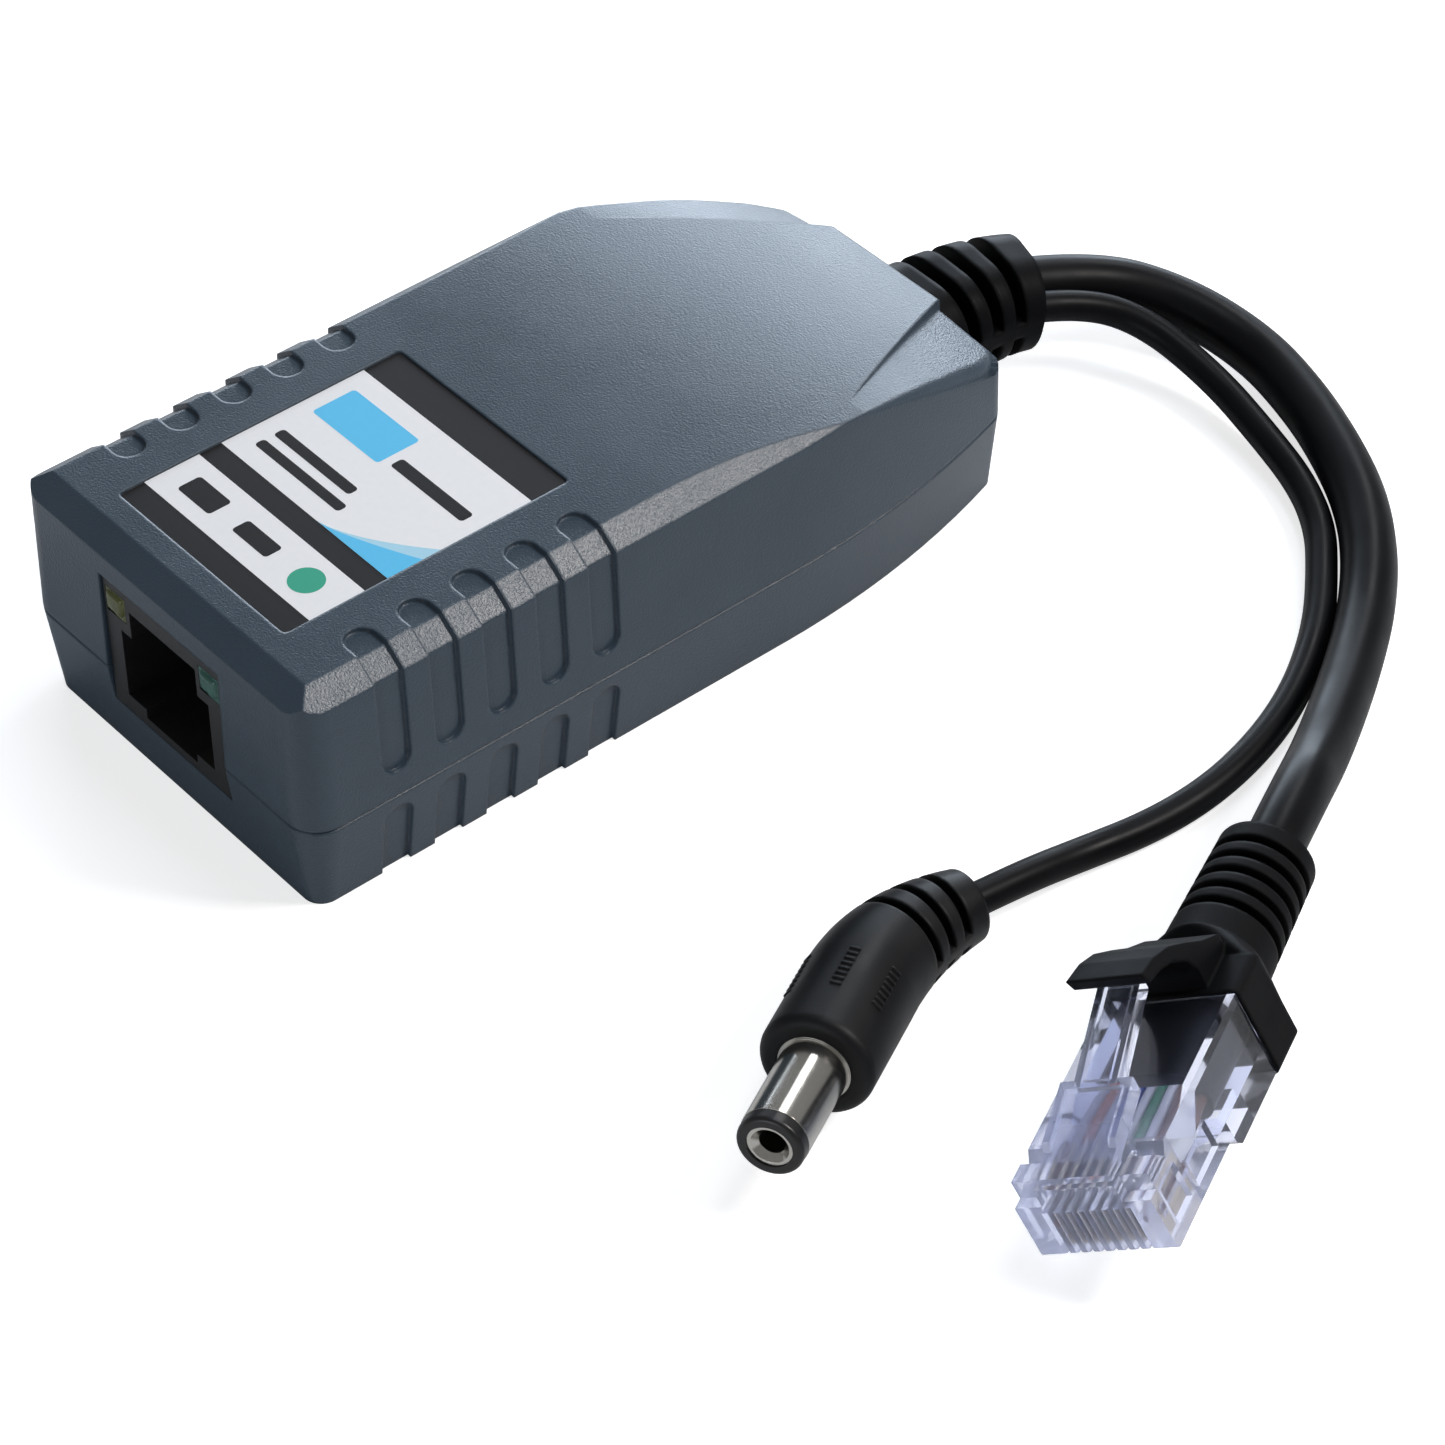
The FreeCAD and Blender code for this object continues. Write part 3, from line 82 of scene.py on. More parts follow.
# A surface with a fine pattern of its own, from its look. Each noise is (size, detail, roughness):
# the cloud varies the colour and the roughness, and the grain, or else the cloud, is the bump's
# height. The bump is (depth, strength). An edge rounds hard edges in the shading. A spread is the
# part of the cloud's range that the colours or the roughness take, and a shade darkens the second
# colour. Sizes are in millimetres.
def patternedSurface(name, surface, look):
    material, tree, shader = newMaterial(name, surface)
    place = addNode(tree, "ShaderNodeTexCoord").outputs["Object"]
    noises = {}
    for key in ("cloud", "grain"):
        if key in look:
            size, detail, roughness = look[key]
            values = {"Scale": 1 / (size * mm), "Detail": detail, "Roughness": roughness}
            noise = addNode(tree, "ShaderNodeTexNoise", inputs=values, links={"Vector": place})
            noises[key] = noise.outputs["Fac"]
    cloud = noises["cloud"]
    if "colours" in look:
        low, high = look.get("colourSpread", (0.0, 1.0))
        share = addNode(tree, "ShaderNodeMapRange", inputs={"From Min": low, "From Max": high},
                        links={"Value": cloud})
        first, second = (linear(colour) for colour in look["colours"])
        second = (*(c * look.get("shade", 1.0) for c in second[:3]), 1.0)
        mixed = addNode(tree, "ShaderNodeMix", {"data_type": "RGBA"}, {6: first, 7: second},
                        {0: share.outputs["Result"]})
        tree.links.new(mixed.outputs[2], shader.inputs["Base Color"])
    low, high = look.get("roughSpread", (0.0, 1.0))
    smooth, rough = look["rough"]
    values = {"From Min": low, "From Max": high, "To Min": smooth, "To Max": rough}
    gloss = addNode(tree, "ShaderNodeMapRange", inputs=values, links={"Value": cloud})
    tree.links.new(gloss.outputs["Result"], shader.inputs["Roughness"])
    if "bump" in look:
        depth, strength = look["bump"]
        bump = addNode(tree, "ShaderNodeBump", inputs={"Strength": strength, "Distance": depth * mm},
                       links={"Height": noises.get("grain", cloud)})
        tree.links.new(bump.outputs["Normal"], shader.inputs["Normal"])
        if "edge" in look:
            rounded = addNode(tree, "ShaderNodeBevel", {"samples": 6}, {"Radius": look["edge"] * mm})
            tree.links.new(rounded.outputs["Normal"], bump.inputs["Normal"])
    return material


def mountNamed(name):
    return [mount for mount in frame["record"]["mounts"] if mount["name"] == name][0]


# Spark-eroded ABS: satin, blue-grey, with an even pebble that sparkles where light grazes it.
# The real pebble is about 0.15 mm; it is drawn a little coarser, so that it shows.
def sparkTexturedAbs():
    look = {
        "colours": ("#374654", "#3C4B59"),
        "cloud": (9.0, 2.0, 0.5),
        "colourSpread": (0.3, 0.7),
        "rough": (0.285, 0.34),
        "roughSpread": (0.3, 0.7),
        "grain": (0.21, 2.0, 0.55),
        "bump": (0.046, 1.0),
        "edge": 0.35,
    }
    return patternedSurface("sparkTexturedAbs", {"IOR": 1.50}, look)


# Flexible PVC: near black, a soft gloss with a slight orange peel
def flexiblePvc(name, colour, rough, peel, edge, gloss):
    look = {
        "colours": (colour, "#0F1013"),
        "cloud": (6.0, 3.0, 0.5),
        "rough": (rough - 0.05, rough + 0.08),
        "roughSpread": (0.3, 0.7),
        "grain": (peel, 2.0, 0.5),
        "bump": (0.02, 0.35),
        "edge": edge,
    }
    return patternedSurface(name, {"IOR": 1.53, "Specular IOR Level": gloss}, look)


# Glass-filled polyester of the jack: black, satin, finely speckled by the fibres near its skin
def glassFilledPolyester():
    look = {
        "colours": ("#131315", "#1D1D20"),
        "cloud": (0.4, 2.0, 0.5),
        "rough": (0.38, 0.52),
        "bump": (0.01, 0.3),
        "edge": 0.08,
    }
    return patternedSurface("glassFilledPolyester", {"IOR": 1.55}, look)


# Clear polycarbonate: polished by the mould, faintly blue. It is milky in the solid nose, and
# clear round the hollow behind it, so the milk fades between two distances from the plug's tip.
def clearPolycarbonate():
    look = {"cloud": (2.2, 1.0, 0.5), "rough": (0.04, 0.10), "bump": (0.05, 0.08)}
    milk = {"colour": "#DADFF4", "behind": (12.0, 0.03), "nose": (4.0, 0.32)}
    surface = {"IOR": 1.40, "Transmission Weight": 1.0, "Base Color": linear("#E6EAFA")}
    material = patternedSurface("clearPolycarbonate", surface, look)
    tree = material.node_tree
    clear, outlet = tree.nodes["Principled BSDF"], tree.nodes["Material Output"]
    milky = addNode(tree, "ShaderNodeBsdfTranslucent", inputs={"Color": linear(milk["colour"])})
    plug = mountNamed("modular_plug")
    place = addNode(tree, "ShaderNodeTexCoord").outputs["Object"]
    along = addNode(tree, "ShaderNodeVectorMath", {"operation": "DOT_PRODUCT"}, {1: plug["axis"]},
                    {0: place})
    tip = Vector(plug["pos_m"]).dot(Vector(plug["axis"]))
    (far, little), (near, much) = milk["behind"], milk["nose"]
    values = {"From Min": tip - far * mm, "From Max": tip - near * mm}
    values.update({"To Min": little, "To Max": much})
    share = addNode(tree, "ShaderNodeMapRange", inputs=values,
                    links={"Value": along.outputs["Value"]})
    mixed = {0: share.outputs["Result"], 1: clear.outputs["BSDF"], 2: milky.outputs["BSDF"]}
    body = addNode(tree, "ShaderNodeMixShader", links=mixed)
    tree.links.new(body.outputs["Shader"], outlet.inputs["Surface"])
    return material


# Tinted acrylic: small light lenses, unlit, glossy, a little uneven in depth of colour
def tintedAcrylic(name, colour, deep):
    look = {
        "colours": (colour, deep),
        "cloud": (1.2, 1.0, 0.5),
        "rough": (0.10, 0.18),
        "bump": (0.01, 0.1),
        "edge": 0.2,
    }
    return patternedSurface(name, {"IOR": 1.49, "Transmission Weight": 0.35}, look)


# Plated metal: turned or stamped, with fine marks that break up the highlights
def platedMetal(name, colour, tint, rough, mark):
    look = {
        "colours": (colour, tint),
        "cloud": (mark, 3.0, 0.6),
        "rough": (rough - 0.05, rough + 0.09),
        "bump": (0.004, 0.1),
        "edge": 0.06,
    }
    return patternedSurface(name, {"Metallic": 1.0}, look)


# Plain moulded, wound or printed parts, each with a little speckle and gloss of its own
def plainPart(name, colour, speckle, rough, size=0.5, metal=0.0, gloss=0.5):
    look = {
        "colours": (colour, speckle),
        "cloud": (size, 3.0, 0.5),
        "rough": (rough, rough + 0.12),
        "bump": (0.01, 0.2),
    }
    return patternedSurface(name, {"Metallic": metal, "Specular IOR Level": gloss}, look)


housingAbs = sparkTexturedAbs()
# Black PVC in four grades: an extruded sheath is the smoothest, the moulded plug is satin, and the
# gland and the boot are duller still. The gland and the boot also have a darker colour, which is
# painted shade that dims them where the rear lamp falls on them
cordPvc = flexiblePvc("extrudedPvc", "#0A0B0D", rough=0.36, peel=0.9, edge=0.15, gloss=0.10)
mouldedPvc = flexiblePvc("mouldedPvc", "#0A0B0E", rough=0.43, peel=0.34, edge=0.45, gloss=0.22)
# Painted shade: the gland's and the boot's near-black colours are darker than the cord's and the
# plug's
glandPvcWithPaintedShade = flexiblePvc("glandPvcWithPaintedShade", "#060708", rough=0.44, peel=0.34, edge=0.7, gloss=0.06)
bootPvcWithPaintedShade = flexiblePvc("bootPvcWithPaintedShade", "#08090B", rough=0.56, peel=0.34, edge=0.45, gloss=0.08)
finishes = {
    "housing_plastic": housingAbs,
    "jack_plastic": glassFilledPolyester(),
    "light_olive": tintedAcrylic("oliveAcrylic", "#7C8247", "#55592C"),
    "light_teal": tintedAcrylic("tealAcrylic", "#4F8C7E", "#2F5F55"),
    # Gold flash over stamped bronze is pale and satin, turned nickel plate is bright and neutral
    "contact_gold": platedMetal("goldFlash", "#F0E2BC", "#E4CF9C", rough=0.34, mark=0.3),
    "black_pvc": mouldedPvc,
    "plug_nickel": platedMetal("turnedNickelPlate", "#D2D0CB", "#BDBAB4", rough=0.18, mark=0.5),
    # Nylon from a polished mould: black, with a fair gloss
    "insulator_black": plainPart("blackNylon", "#101012", "#1A1A1C", 0.29),
    "clear_polycarbonate": clearPolycarbonate(),
    # Solder mask is green varnish, ferrite a dull grey ceramic, phenolic a brown-black satin
    "board_laminate": plainPart("solderMask", "#14502F", "#1B6038", 0.35),
    "ferrite": plainPart("sinteredFerrite", "#2C2C2F", "#3A3A3E", 0.6, size=0.3),
    "bobbin_plastic": plainPart("phenolicBobbin", "#1B1A18", "#25231F", 0.5),
    # Copper wire shows through its warm enamel, shrink sleeve is a tight film with a gloss, and
    # epoxy bodies are matt and finely grained
    "copper_winding": plainPart("enamelledCopper", "#B8642E", "#8F4A20", 0.3, size=0.25, metal=1.0),
    "capacitor_sleeve": plainPart("shrinkSleeve", "#1B2030", "#232A3E", 0.3),
    "component_epoxy": plainPart("mouldedEpoxy", "#1E1E20", "#2A2A2D", 0.55, size=0.25),
    # Leads have satin PVC, and the cord's cores have waxy polyethylene in the usual colours
    "lead_insulation": plainPart("whiteLeadPvc", "#CFCFCB", "#BDBDB8", 0.4),
    "power_lead_insulation": plainPart("redLeadPvc", "#A02018", "#7F1610", 0.4),
    "core_white": plainPart("whitePolyethylene", "#DDDDDA", "#C9C9C6", 0.4),
    "core_orange": plainPart("orangePolyethylene", "#E0752A", "#C65F1B", 0.4),
    "core_green": plainPart("greenPolyethylene", "#1F8A58", "#156B43", 0.4),
    "core_blue": plainPart("bluePolyethylene", "#2E50A8", "#223D86", 0.4),
    "core_brown": plainPart("brownPolyethylene", "#6A4025", "#52301A", 0.4),
    # Polyester film, printed near black: satin, and the ground that the inks lie on
    "label_film": plainPart("printedFilm", "#19181A", "#1D1C1E", 0.42, size=0.8, gloss=0.25),
}
# These nodes have a grade of black PVC of their own; the gland's and the boot's grades have painted
# shade in their darker colour
ownFinish = {"inner_jacket": cordPvc, "cable_gland": glandPvcWithPaintedShade, "modular_plug_boot": bootPvcWithPaintedShade}
slotOfNode = {part["node"]: part["material_slot"] for part in frame["record"]["subparts"]}
for name, node in nodes.items():
    node.data.materials.clear()
    node.data.materials.append(ownFinish.get(name, finishes[slotOfNode[name]]))
print("finishes set on the solids")


# Moves a finished piece's place into its mesh and lets it ride on the housing
def seat(piece, name, material):
    piece.name = name
    bpy.ops.object.select_all(action="DESELECT")
    piece.select_set(True)
    bpy.context.view_layer.objects.active = piece
    bpy.ops.object.transform_apply(location=True, rotation=True, scale=True)
    piece.data.materials.clear()
    piece.data.materials.append(material)
    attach(piece, "root")


# Outer edges of the two lowered rear facets, in millimetres. A station is a place along the right
# edge, the ways that the side and the facet face there, and the rounding's radius.
facetEdge = {
    "stations": [
        ((18.60, 20.63, 20.47), (0.99, 0.11, 0.03), (0.01, 0.22, 0.98), 0.25),
        ((17.78, 26.72, 18.75), (0.98, 0.17, 0.03), (0.04, 0.27, 0.96), 0.85),
        ((17.20, 29.80, 17.70), (0.98, 0.21, 0.03), (0.06, 0.29, 0.95), 1.10),
        ((16.54, 32.81, 16.50), (0.97, 0.24, 0.03), (0.07, 0.32, 0.94), 1.30),
        ((15.75, 35.85, 15.20), (0.96, 0.28, 0.03), (0.09, 0.35, 0.93), 1.40),
        ((14.63, 37.50, 14.50), (0.80, 0.60, 0.02), (0.10, 0.38, 0.92), 1.20),
        ((13.40, 38.55, 14.15), (0.42, 0.90, 0.02), (0.10, 0.38, 0.92), 0.45),
    ],
    "merge": 0.002,  # loose corners of the solid that are nearer than this become one point
    "cutRegion": (9.0, 19.0, 11.0),  # faces are cut only beyond this half width, depth and height
    "moveRegion": (18.0, 11.0),  # and points are moved only beyond this depth and height
    "planSlope": 0.187,  # upright cuts along the edge, as it runs in plan
    "planStrips": (20.2, 20.7, 21.1, 21.4, 21.7, 21.95, 22.2),
    "fallSlope": 0.346,  # sloping cuts along the edge, as it falls to the rear
    "fallStrips": (25.6, 26.0, 26.4, 26.7, 27.0, 27.25, 27.45),
    "steps": (21.0, 37.0, 1.0),  # cuts across the edge: first, last and step
    "cornerSteps": (36.4, 38.9, 0.25),
    "crossSteps": (12.0, 15.6, 0.3),
    "reach": 2.0,  # in radii: the farthest that a point is from the sharp edge
    "overrun": 0.6,  # how far a point may lie past the end of its stretch
    "inward": 0.02,  # share of the way to a face's middle, to read that face and not its neighbour
}


# Cuts the faces near the facets' edges with one plane, and keeps both parts
def cutNear(piece, place, normal):
    across, along, up = (limit * mm for limit in facetEdge["cutRegion"])
    bpy.ops.object.mode_set(mode="EDIT")
    bpy.ops.mesh.select_mode(type="FACE")
    bpy.ops.mesh.select_all(action="DESELECT")
    bpy.ops.object.mode_set(mode="OBJECT")
    near = [abs(v.co.x) > across and v.co.y > along and v.co.z > up for v in piece.data.vertices]
    for face in piece.data.polygons:
        face.select = any(near[index] for index in face.vertices)
    bpy.ops.object.mode_set(mode="EDIT")
    bpy.ops.mesh.bisect(plane_co=Vector(place) * mm, plane_no=Vector(normal).normalized())
    bpy.ops.object.mode_set(mode="OBJECT")


# Where a point near the facet's edge goes on its rounding, and how the surface faces there
def ontoRounding(point):
    mirror = -1 if point.x < 0 else 1
    local = Vector((point.x * mirror, point.y, point.z)) / mm
    nearest = None
    for first, second in zip(facetEdge["stations"], facetEdge["stations"][1:]):
        start, end = Vector(first[0]), Vector(second[0])
        share = (local - start).dot(end - start) / (end - start).length_squared
        share = min(max(share, 0.0), 1.0)
        away = (local - start.lerp(end, share)).length
        if nearest is None or away < nearest[0]:
            nearest = (away, first, second, share)
    away, first, second, share = nearest
    edge, side, facet = (Vector(a).lerp(Vector(b), share) for a, b in zip(first[:3], second[:3]))
    radius = first[3] + (second[3] - first[3]) * share
    side.normalize()
    facet.normalize()
    run = side.cross(facet).normalized()
    centre = edge - (side + facet) * radius / (1 + side.dot(facet))
    out = local - centre
    along = out.dot(run)
    out -= run * along
    inside = side.cross(out).dot(run) > 0 and out.cross(facet).dot(run) > 0
    far = away > facetEdge["reach"] * radius or abs(along) > facetEdge["overrun"]
    if far or not inside or out.length <= radius:
        return None
    facing = out.normalized()
    moved = (centre + run * along + facing * radius) * mm
    moved.x *= mirror
    facing.x *= mirror
    return moved, facing


# How the solid's own surface faces, at each corner of each face of the cut copy
def solidFacings(solid, cut):
    corners = [vertex.co for vertex in solid.vertices]
    tree = BVHTree.FromPolygons(corners, [tuple(face.vertices) for face in solid.polygons])
    facings = []
    for face in cut.polygons:
        for loop in face.loop_indices:
            corner = cut.vertices[cut.loops[loop].vertex_index].co
            found = tree.find_nearest(corner.lerp(face.center, facetEdge["inward"]))
            source = solid.polygons[found[2]]
            shares = poly_3d_calc([corners[i] for i in source.vertices], found[0])
            facing = Vector((0, 0, 0))
            for share, sourceLoop in zip(shares, source.loop_indices):
                facing += solid.corner_normals[sourceLoop].vector * share
            facings.append(facing.normalized())
    return facings


# Cuts the upper shell's copy into small faces along the facets' edges
def cutAlongEdges(piece):
    for strip in facetEdge["planStrips"]:
        for mirror in (1, -1):
            cutNear(piece, (strip * mirror, 0, 0), (mirror, facetEdge["planSlope"], 0))
    for strip in facetEdge["fallStrips"]:
        cutNear(piece, (0, 0, strip), (0, facetEdge["fallSlope"], 1))
    for key in ("steps", "cornerSteps", "crossSteps"):
        low, high, step = facetEdge[key]
        for index in range(round((high - low) / step) + 1):
            if key == "crossSteps":
                for mirror in (1, -1):
                    cutNear(piece, ((low + index * step) * mirror, 0, 0), (1, 0, 0))
            else:
                cutNear(piece, (0, low + index * step, 0), (0, 1, 0))


# The upper shell: its solid, with the outer edges of the rear facets rounded as on the real one
def roundedTopShell():
    solid = nodes["top_shell"].data
    bpy.ops.object.select_all(action="DESELECT")
    piece = bpy.data.objects.new("roundedTopShell", solid.copy())
    bpy.context.collection.objects.link(piece)
    piece.select_set(True)
    bpy.context.view_layer.objects.active = piece
    bpy.ops.object.mode_set(mode="EDIT")
    bpy.ops.mesh.select_all(action="SELECT")
    bpy.ops.mesh.remove_doubles(threshold=facetEdge["merge"] * mm)
    bpy.ops.object.mode_set(mode="OBJECT")
    cutAlongEdges(piece)
    bpy.ops.object.shade_smooth()
    facings = solidFacings(solid, piece.data)
    rear, above = (limit * mm for limit in facetEdge["moveRegion"])
    moves = {}
    for vertex in piece.data.vertices:
        move = ontoRounding(vertex.co) if vertex.co.y > rear and vertex.co.z > above else None
        if move:
            moves[vertex.index] = move
    for index, move in moves.items():
        piece.data.vertices[index].co = move[0]
    for loop in piece.data.loops:
        if loop.vertex_index in moves:
            facings[loop.index] = moves[loop.vertex_index][1]
    piece.data.normals_split_custom_set(facings)
    print("facet points moved:", len(moves), "faces:", len(piece.data.polygons))
    seat(piece, "roundedTopShell", housingAbs)
    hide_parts("top_shell")


roundedTopShell()
print("rear facets rounded")


# Cords: the same route points as the solids, in millimetres, as smooth splines
cords = {
    "ethernetCord": {
        "node": "ethernet_cord",
        "diameter": 4.9,
        "length": 98.9,
        "route": [
            (1.74, 51.98, 7.75), (4.16, 59.84, 6.33), (10.18, 65.22, 4.21), (18.21, 66.89, 2.73),
            (25.87, 65.05, 2.46), (32.42, 62.34, 2.52), (38.81, 58.92, 2.51), (44.45, 54.30, 2.49),
            (49.27, 48.84, 2.49), (53.47, 42.94, 3.06), (57.40, 36.95, 4.16), (61.27, 30.68, 5.44),
            (65.39, 23.64, 7.97), (68.62, 17.06, 7.85),
        ],
    },
    "powerCord": {
        "node": "power_cord",
        "diameter": 2.8,
        "length": 100.6,
        "route": [
            (5.632, 50.847, 8.109), (7.132, 55.718, 7.229), (11.47, 59.54, 5.54),
            (19.27, 60.56, 3.26), (26.87, 59.19, 2.21), (33.11, 57.51, 1.67), (38.33, 54.61, 1.47),
            (42.58, 50.46, 1.46), (46.68, 45.98, 1.47), (50.12, 40.94, 1.47), (52.86, 35.55, 1.47),
            (54.71, 29.74, 1.47), (55.69, 23.72, 1.51), (55.45, 17.61, 1.44), (54.20, 11.36, 1.52),
            (54.10, 5.04, 2.94), (53.90, -1.20, 3.62),
        ],
    },
}


def layCord(name):
    cord = cords[name]
    curve = bpy.data.curves.new(name, "CURVE")
    curve.dimensions = "3D"
    curve.bevel_depth = cord["diameter"] / 2 * mm
    curve.bevel_resolution = 8  # gives 20 points round the cord
    curve.resolution_u = 16  # steps for each of the route's points
    spline = curve.splines.new("NURBS")
    spline.points.add(len(cord["route"]) - 1)
    for point, place in zip(spline.points, cord["route"]):
        point.co = (*(c * mm for c in place), 1.0)
    spline.order_u = 3
    spline.use_endpoint_u = True
    piece = bpy.data.objects.new(name, curve)
    bpy.context.collection.objects.link(piece)
    curve.materials.append(cordPvc)
    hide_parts(cord["node"])
    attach(piece, "root")


modularPieces = ["cable_gland", "modular_plug_body", "modular_plug_boot", "inner_jacket"]
modularPieces += ["modular_contact_%d" % i for i in range(1, 9)]
modularPieces += ["core_wire_%d" % i for i in range(1, 9)]
layCord("ethernetCord")
layCord("powerCord")
print("cords laid")


# Label print: thin ink fields on the film. Each field is its ink, its layer and its sides, which
# are shares of the film: left, right, front, back. A sweep has its bend too, and the dot has its
# place and radius. Ink, corner, radius and merge are in millimetres.
labelPrint = {
    "ink": 0.012,
    "corner": 0.35,
    "cornerSegments": 5,
    "colours": {
        "white": "#F8FAFE",
        "blue": "#64CEFF",
        "paleBlue": "#B4E4FB",
        "teal": "#3FAE92",
        "grey": "#1C1B1D",
    },
    "bands": {
        "labelStripe": ("white", 1, (0.0, 1.0, 0.085, 0.277)),
        "labelPanel": ("white", 1, (0.0, 1.0, 0.356, 0.870)),
    },
    "blocks": {
        "labelBadge": ("blue", 2, (0.07, 0.465, 0.640, 0.795)),
        "labelBarTitle": ("grey", 2, (0.505, 0.925, 0.662, 0.708)),
        "labelBarUpper": ("grey", 2, (0.085, 0.540, 0.492, 0.530)),
        "labelBarLower": ("grey", 2, (0.085, 0.590, 0.424, 0.460)),
        "labelBlockLeft": ("grey", 2, (0.105, 0.300, 0.140, 0.222)),
        "labelBlockMiddle": ("grey", 2, (0.420, 0.625, 0.150, 0.212)),
    },
    "sweeps": {
        "labelHalo": ("paleBlue", 2, (0.58, 1.0, 0.356, 0.545), 1.5),
        "labelSweep": ("blue", 3, (0.60, 1.0, 0.356, 0.480), 1.25),
    },
    "sweepColumns": 16,
    "dot": ("teal", 2, (0.82, 0.180), 1.55),
    "dotPoints": 48,
    "merge": 0.001,
}


# Printing ink: satin, its colour a little uneven where the film takes it up
def printingInk(name, colour):
    look = {
        "colours": (colour, colour),
        "shade": 0.95,
        "cloud": (0.6, 2.0, 0.5),
        "rough": (0.34, 0.44),
    }
    return patternedSurface(name, {"IOR": 1.5, "Specular IOR Level": 0.3}, look)


inks = {name: printingInk(name + "Ink", colour) for name, colour in labelPrint["colours"].items()}
filmLow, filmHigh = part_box("label")


def onFilm(across, along):
    x = filmLow[0] + across * (filmHigh[0] - filmLow[0])
    y = filmLow[1] + along * (filmHigh[1] - filmLow[1])
    return x, y


def layerBase(layer):
    return filmHigh[2] + (layer - 1) * labelPrint["ink"] * mm


# Leaves only the given vertices selected, in edit mode
def selectVertices(piece, wanted):
    bpy.ops.object.mode_set(mode="EDIT")
    bpy.ops.mesh.select_mode(type="VERT")
    bpy.ops.mesh.select_all(action="DESELECT")
    bpy.ops.object.mode_set(mode="OBJECT")
    for vertex in piece.data.vertices:
        vertex.select = wanted(vertex.co)
    bpy.ops.object.mode_set(mode="EDIT")


# Raises a flat field by the ink's thickness, and closes it
def raiseInk(piece, name, ink):
    thickness = labelPrint["ink"] * mm
    bpy.ops.object.mode_set(mode="EDIT")
    bpy.ops.mesh.select_all(action="SELECT")
    bpy.ops.mesh.extrude_region_move(TRANSFORM_OT_translate={"value": (0, 0, thickness)})
    bpy.ops.mesh.select_all(action="SELECT")
    bpy.ops.mesh.normals_make_consistent(inside=False)
    bpy.ops.object.mode_set(mode="OBJECT")
    seat(piece, name, inks[ink])


# A plane at the field's size and place, in columns where it has a sweep
def flatField(sides, layer, columns=0):
    (x0, y0), (x1, y1) = onFilm(sides[0], sides[2]), onFilm(sides[1], sides[3])
    middle = ((x0 + x1) / 2, (y0 + y1) / 2, layerBase(layer))
    bpy.ops.object.select_all(action="DESELECT")
    if columns:
        bpy.ops.mesh.primitive_grid_add(x_subdivisions=columns, y_subdivisions=1, size=1,
                                        location=middle)
    else:
        bpy.ops.mesh.primitive_plane_add(size=1, location=middle)
    piece = bpy.context.object
    piece.scale = (x1 - x0, y1 - y0, 1)
    bpy.ops.object.transform_apply(location=True, rotation=True, scale=True)
    return piece


def printBlock(name, ink, layer, sides, corner):
    piece = flatField(sides, layer)
    if corner:
        bpy.ops.object.mode_set(mode="EDIT")
        bpy.ops.mesh.select_all(action="SELECT")
        bpy.ops.mesh.bevel(offset=corner * mm, segments=labelPrint["cornerSegments"],
                           affect="VERTICES")
        bpy.ops.object.mode_set(mode="OBJECT")
    raiseInk(piece, name, ink)


# The sweep's back edge is drawn down, column by column, to a curve that rises to the right
def printSweep(name, ink, layer, sides, bend):
    columns = labelPrint["sweepColumns"]
    piece = flatField(sides, layer, columns)
    (x0, y0), (x1, y1) = onFilm(sides[0], sides[2]), onFilm(sides[1], sides[3])
    near = (x1 - x0) / columns / 3
    for column in range(columns):
        share = column / columns
        x = x0 + share * (x1 - x0)
        selectVertices(piece, lambda co: abs(co.x - x) < near and co.y > (y0 + y1) / 2)
        bpy.ops.transform.translate(value=(0, (y1 - y0) * (share ** bend - 1), 0))
        bpy.ops.object.mode_set(mode="OBJECT")
    bpy.ops.object.mode_set(mode="EDIT")
    bpy.ops.mesh.select_all(action="SELECT")
    bpy.ops.mesh.remove_doubles(threshold=labelPrint["merge"] * mm)
    bpy.ops.object.mode_set(mode="OBJECT")
    raiseInk(piece, name, ink)


def printDot(name, ink, layer, place, radius):
    bpy.ops.object.select_all(action="DESELECT")
    bpy.ops.mesh.primitive_circle_add(vertices=labelPrint["dotPoints"], radius=radius * mm,
                                      fill_type="NGON", location=(*onFilm(*place), layerBase(layer)))
    raiseInk(bpy.context.object, name, ink)


for name, field in labelPrint["bands"].items():
    printBlock(name, *field, 0.0)
# Plain bars and blocks stand where the label has its lines of print
for name, field in labelPrint["blocks"].items():
    printBlock(name, *field, labelPrint["corner"])
for name, field in labelPrint["sweeps"].items():
    printSweep(name, *field)
printDot("labelDot", *labelPrint["dot"])
print("label printed")


# Lenses: the rounded front of each light, just proud of the jack's face
lens = {"proud": 0.3, "depth": 1.2, "height": 2.1, "margin": 0.1, "round": 0.55, "segments": 5}


def domedLens(node, name, finish):
    low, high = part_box(node)
    width = high[0] - low[0] - 2 * lens["margin"] * mm
    height = lens["height"] * mm
    middle = (
        (low[0] + high[0]) / 2,
        low[1] + (lens["depth"] / 2 - lens["proud"]) * mm,
        high[2] - lens["margin"] * mm - height / 2,
    )
    bpy.ops.object.select_all(action="DESELECT")
    bpy.ops.mesh.primitive_cube_add(size=1, location=middle)
    piece = bpy.context.object
    piece.scale = (width, lens["depth"] * mm, height)
    bpy.ops.object.transform_apply(location=False, rotation=False, scale=True)
    bpy.ops.object.mode_set(mode="EDIT")
    bpy.ops.mesh.select_all(action="SELECT")
    bpy.ops.mesh.bevel(offset=lens["round"] * mm, segments=lens["segments"], affect="EDGES")
    bpy.ops.object.mode_set(mode="OBJECT")
    bpy.ops.object.shade_smooth()
    seat(piece, name, finishes[finish])


domedLens("led_left", "lensLeft", "light_olive")
domedLens("led_right", "lensRight", "light_teal")
print("lenses set")


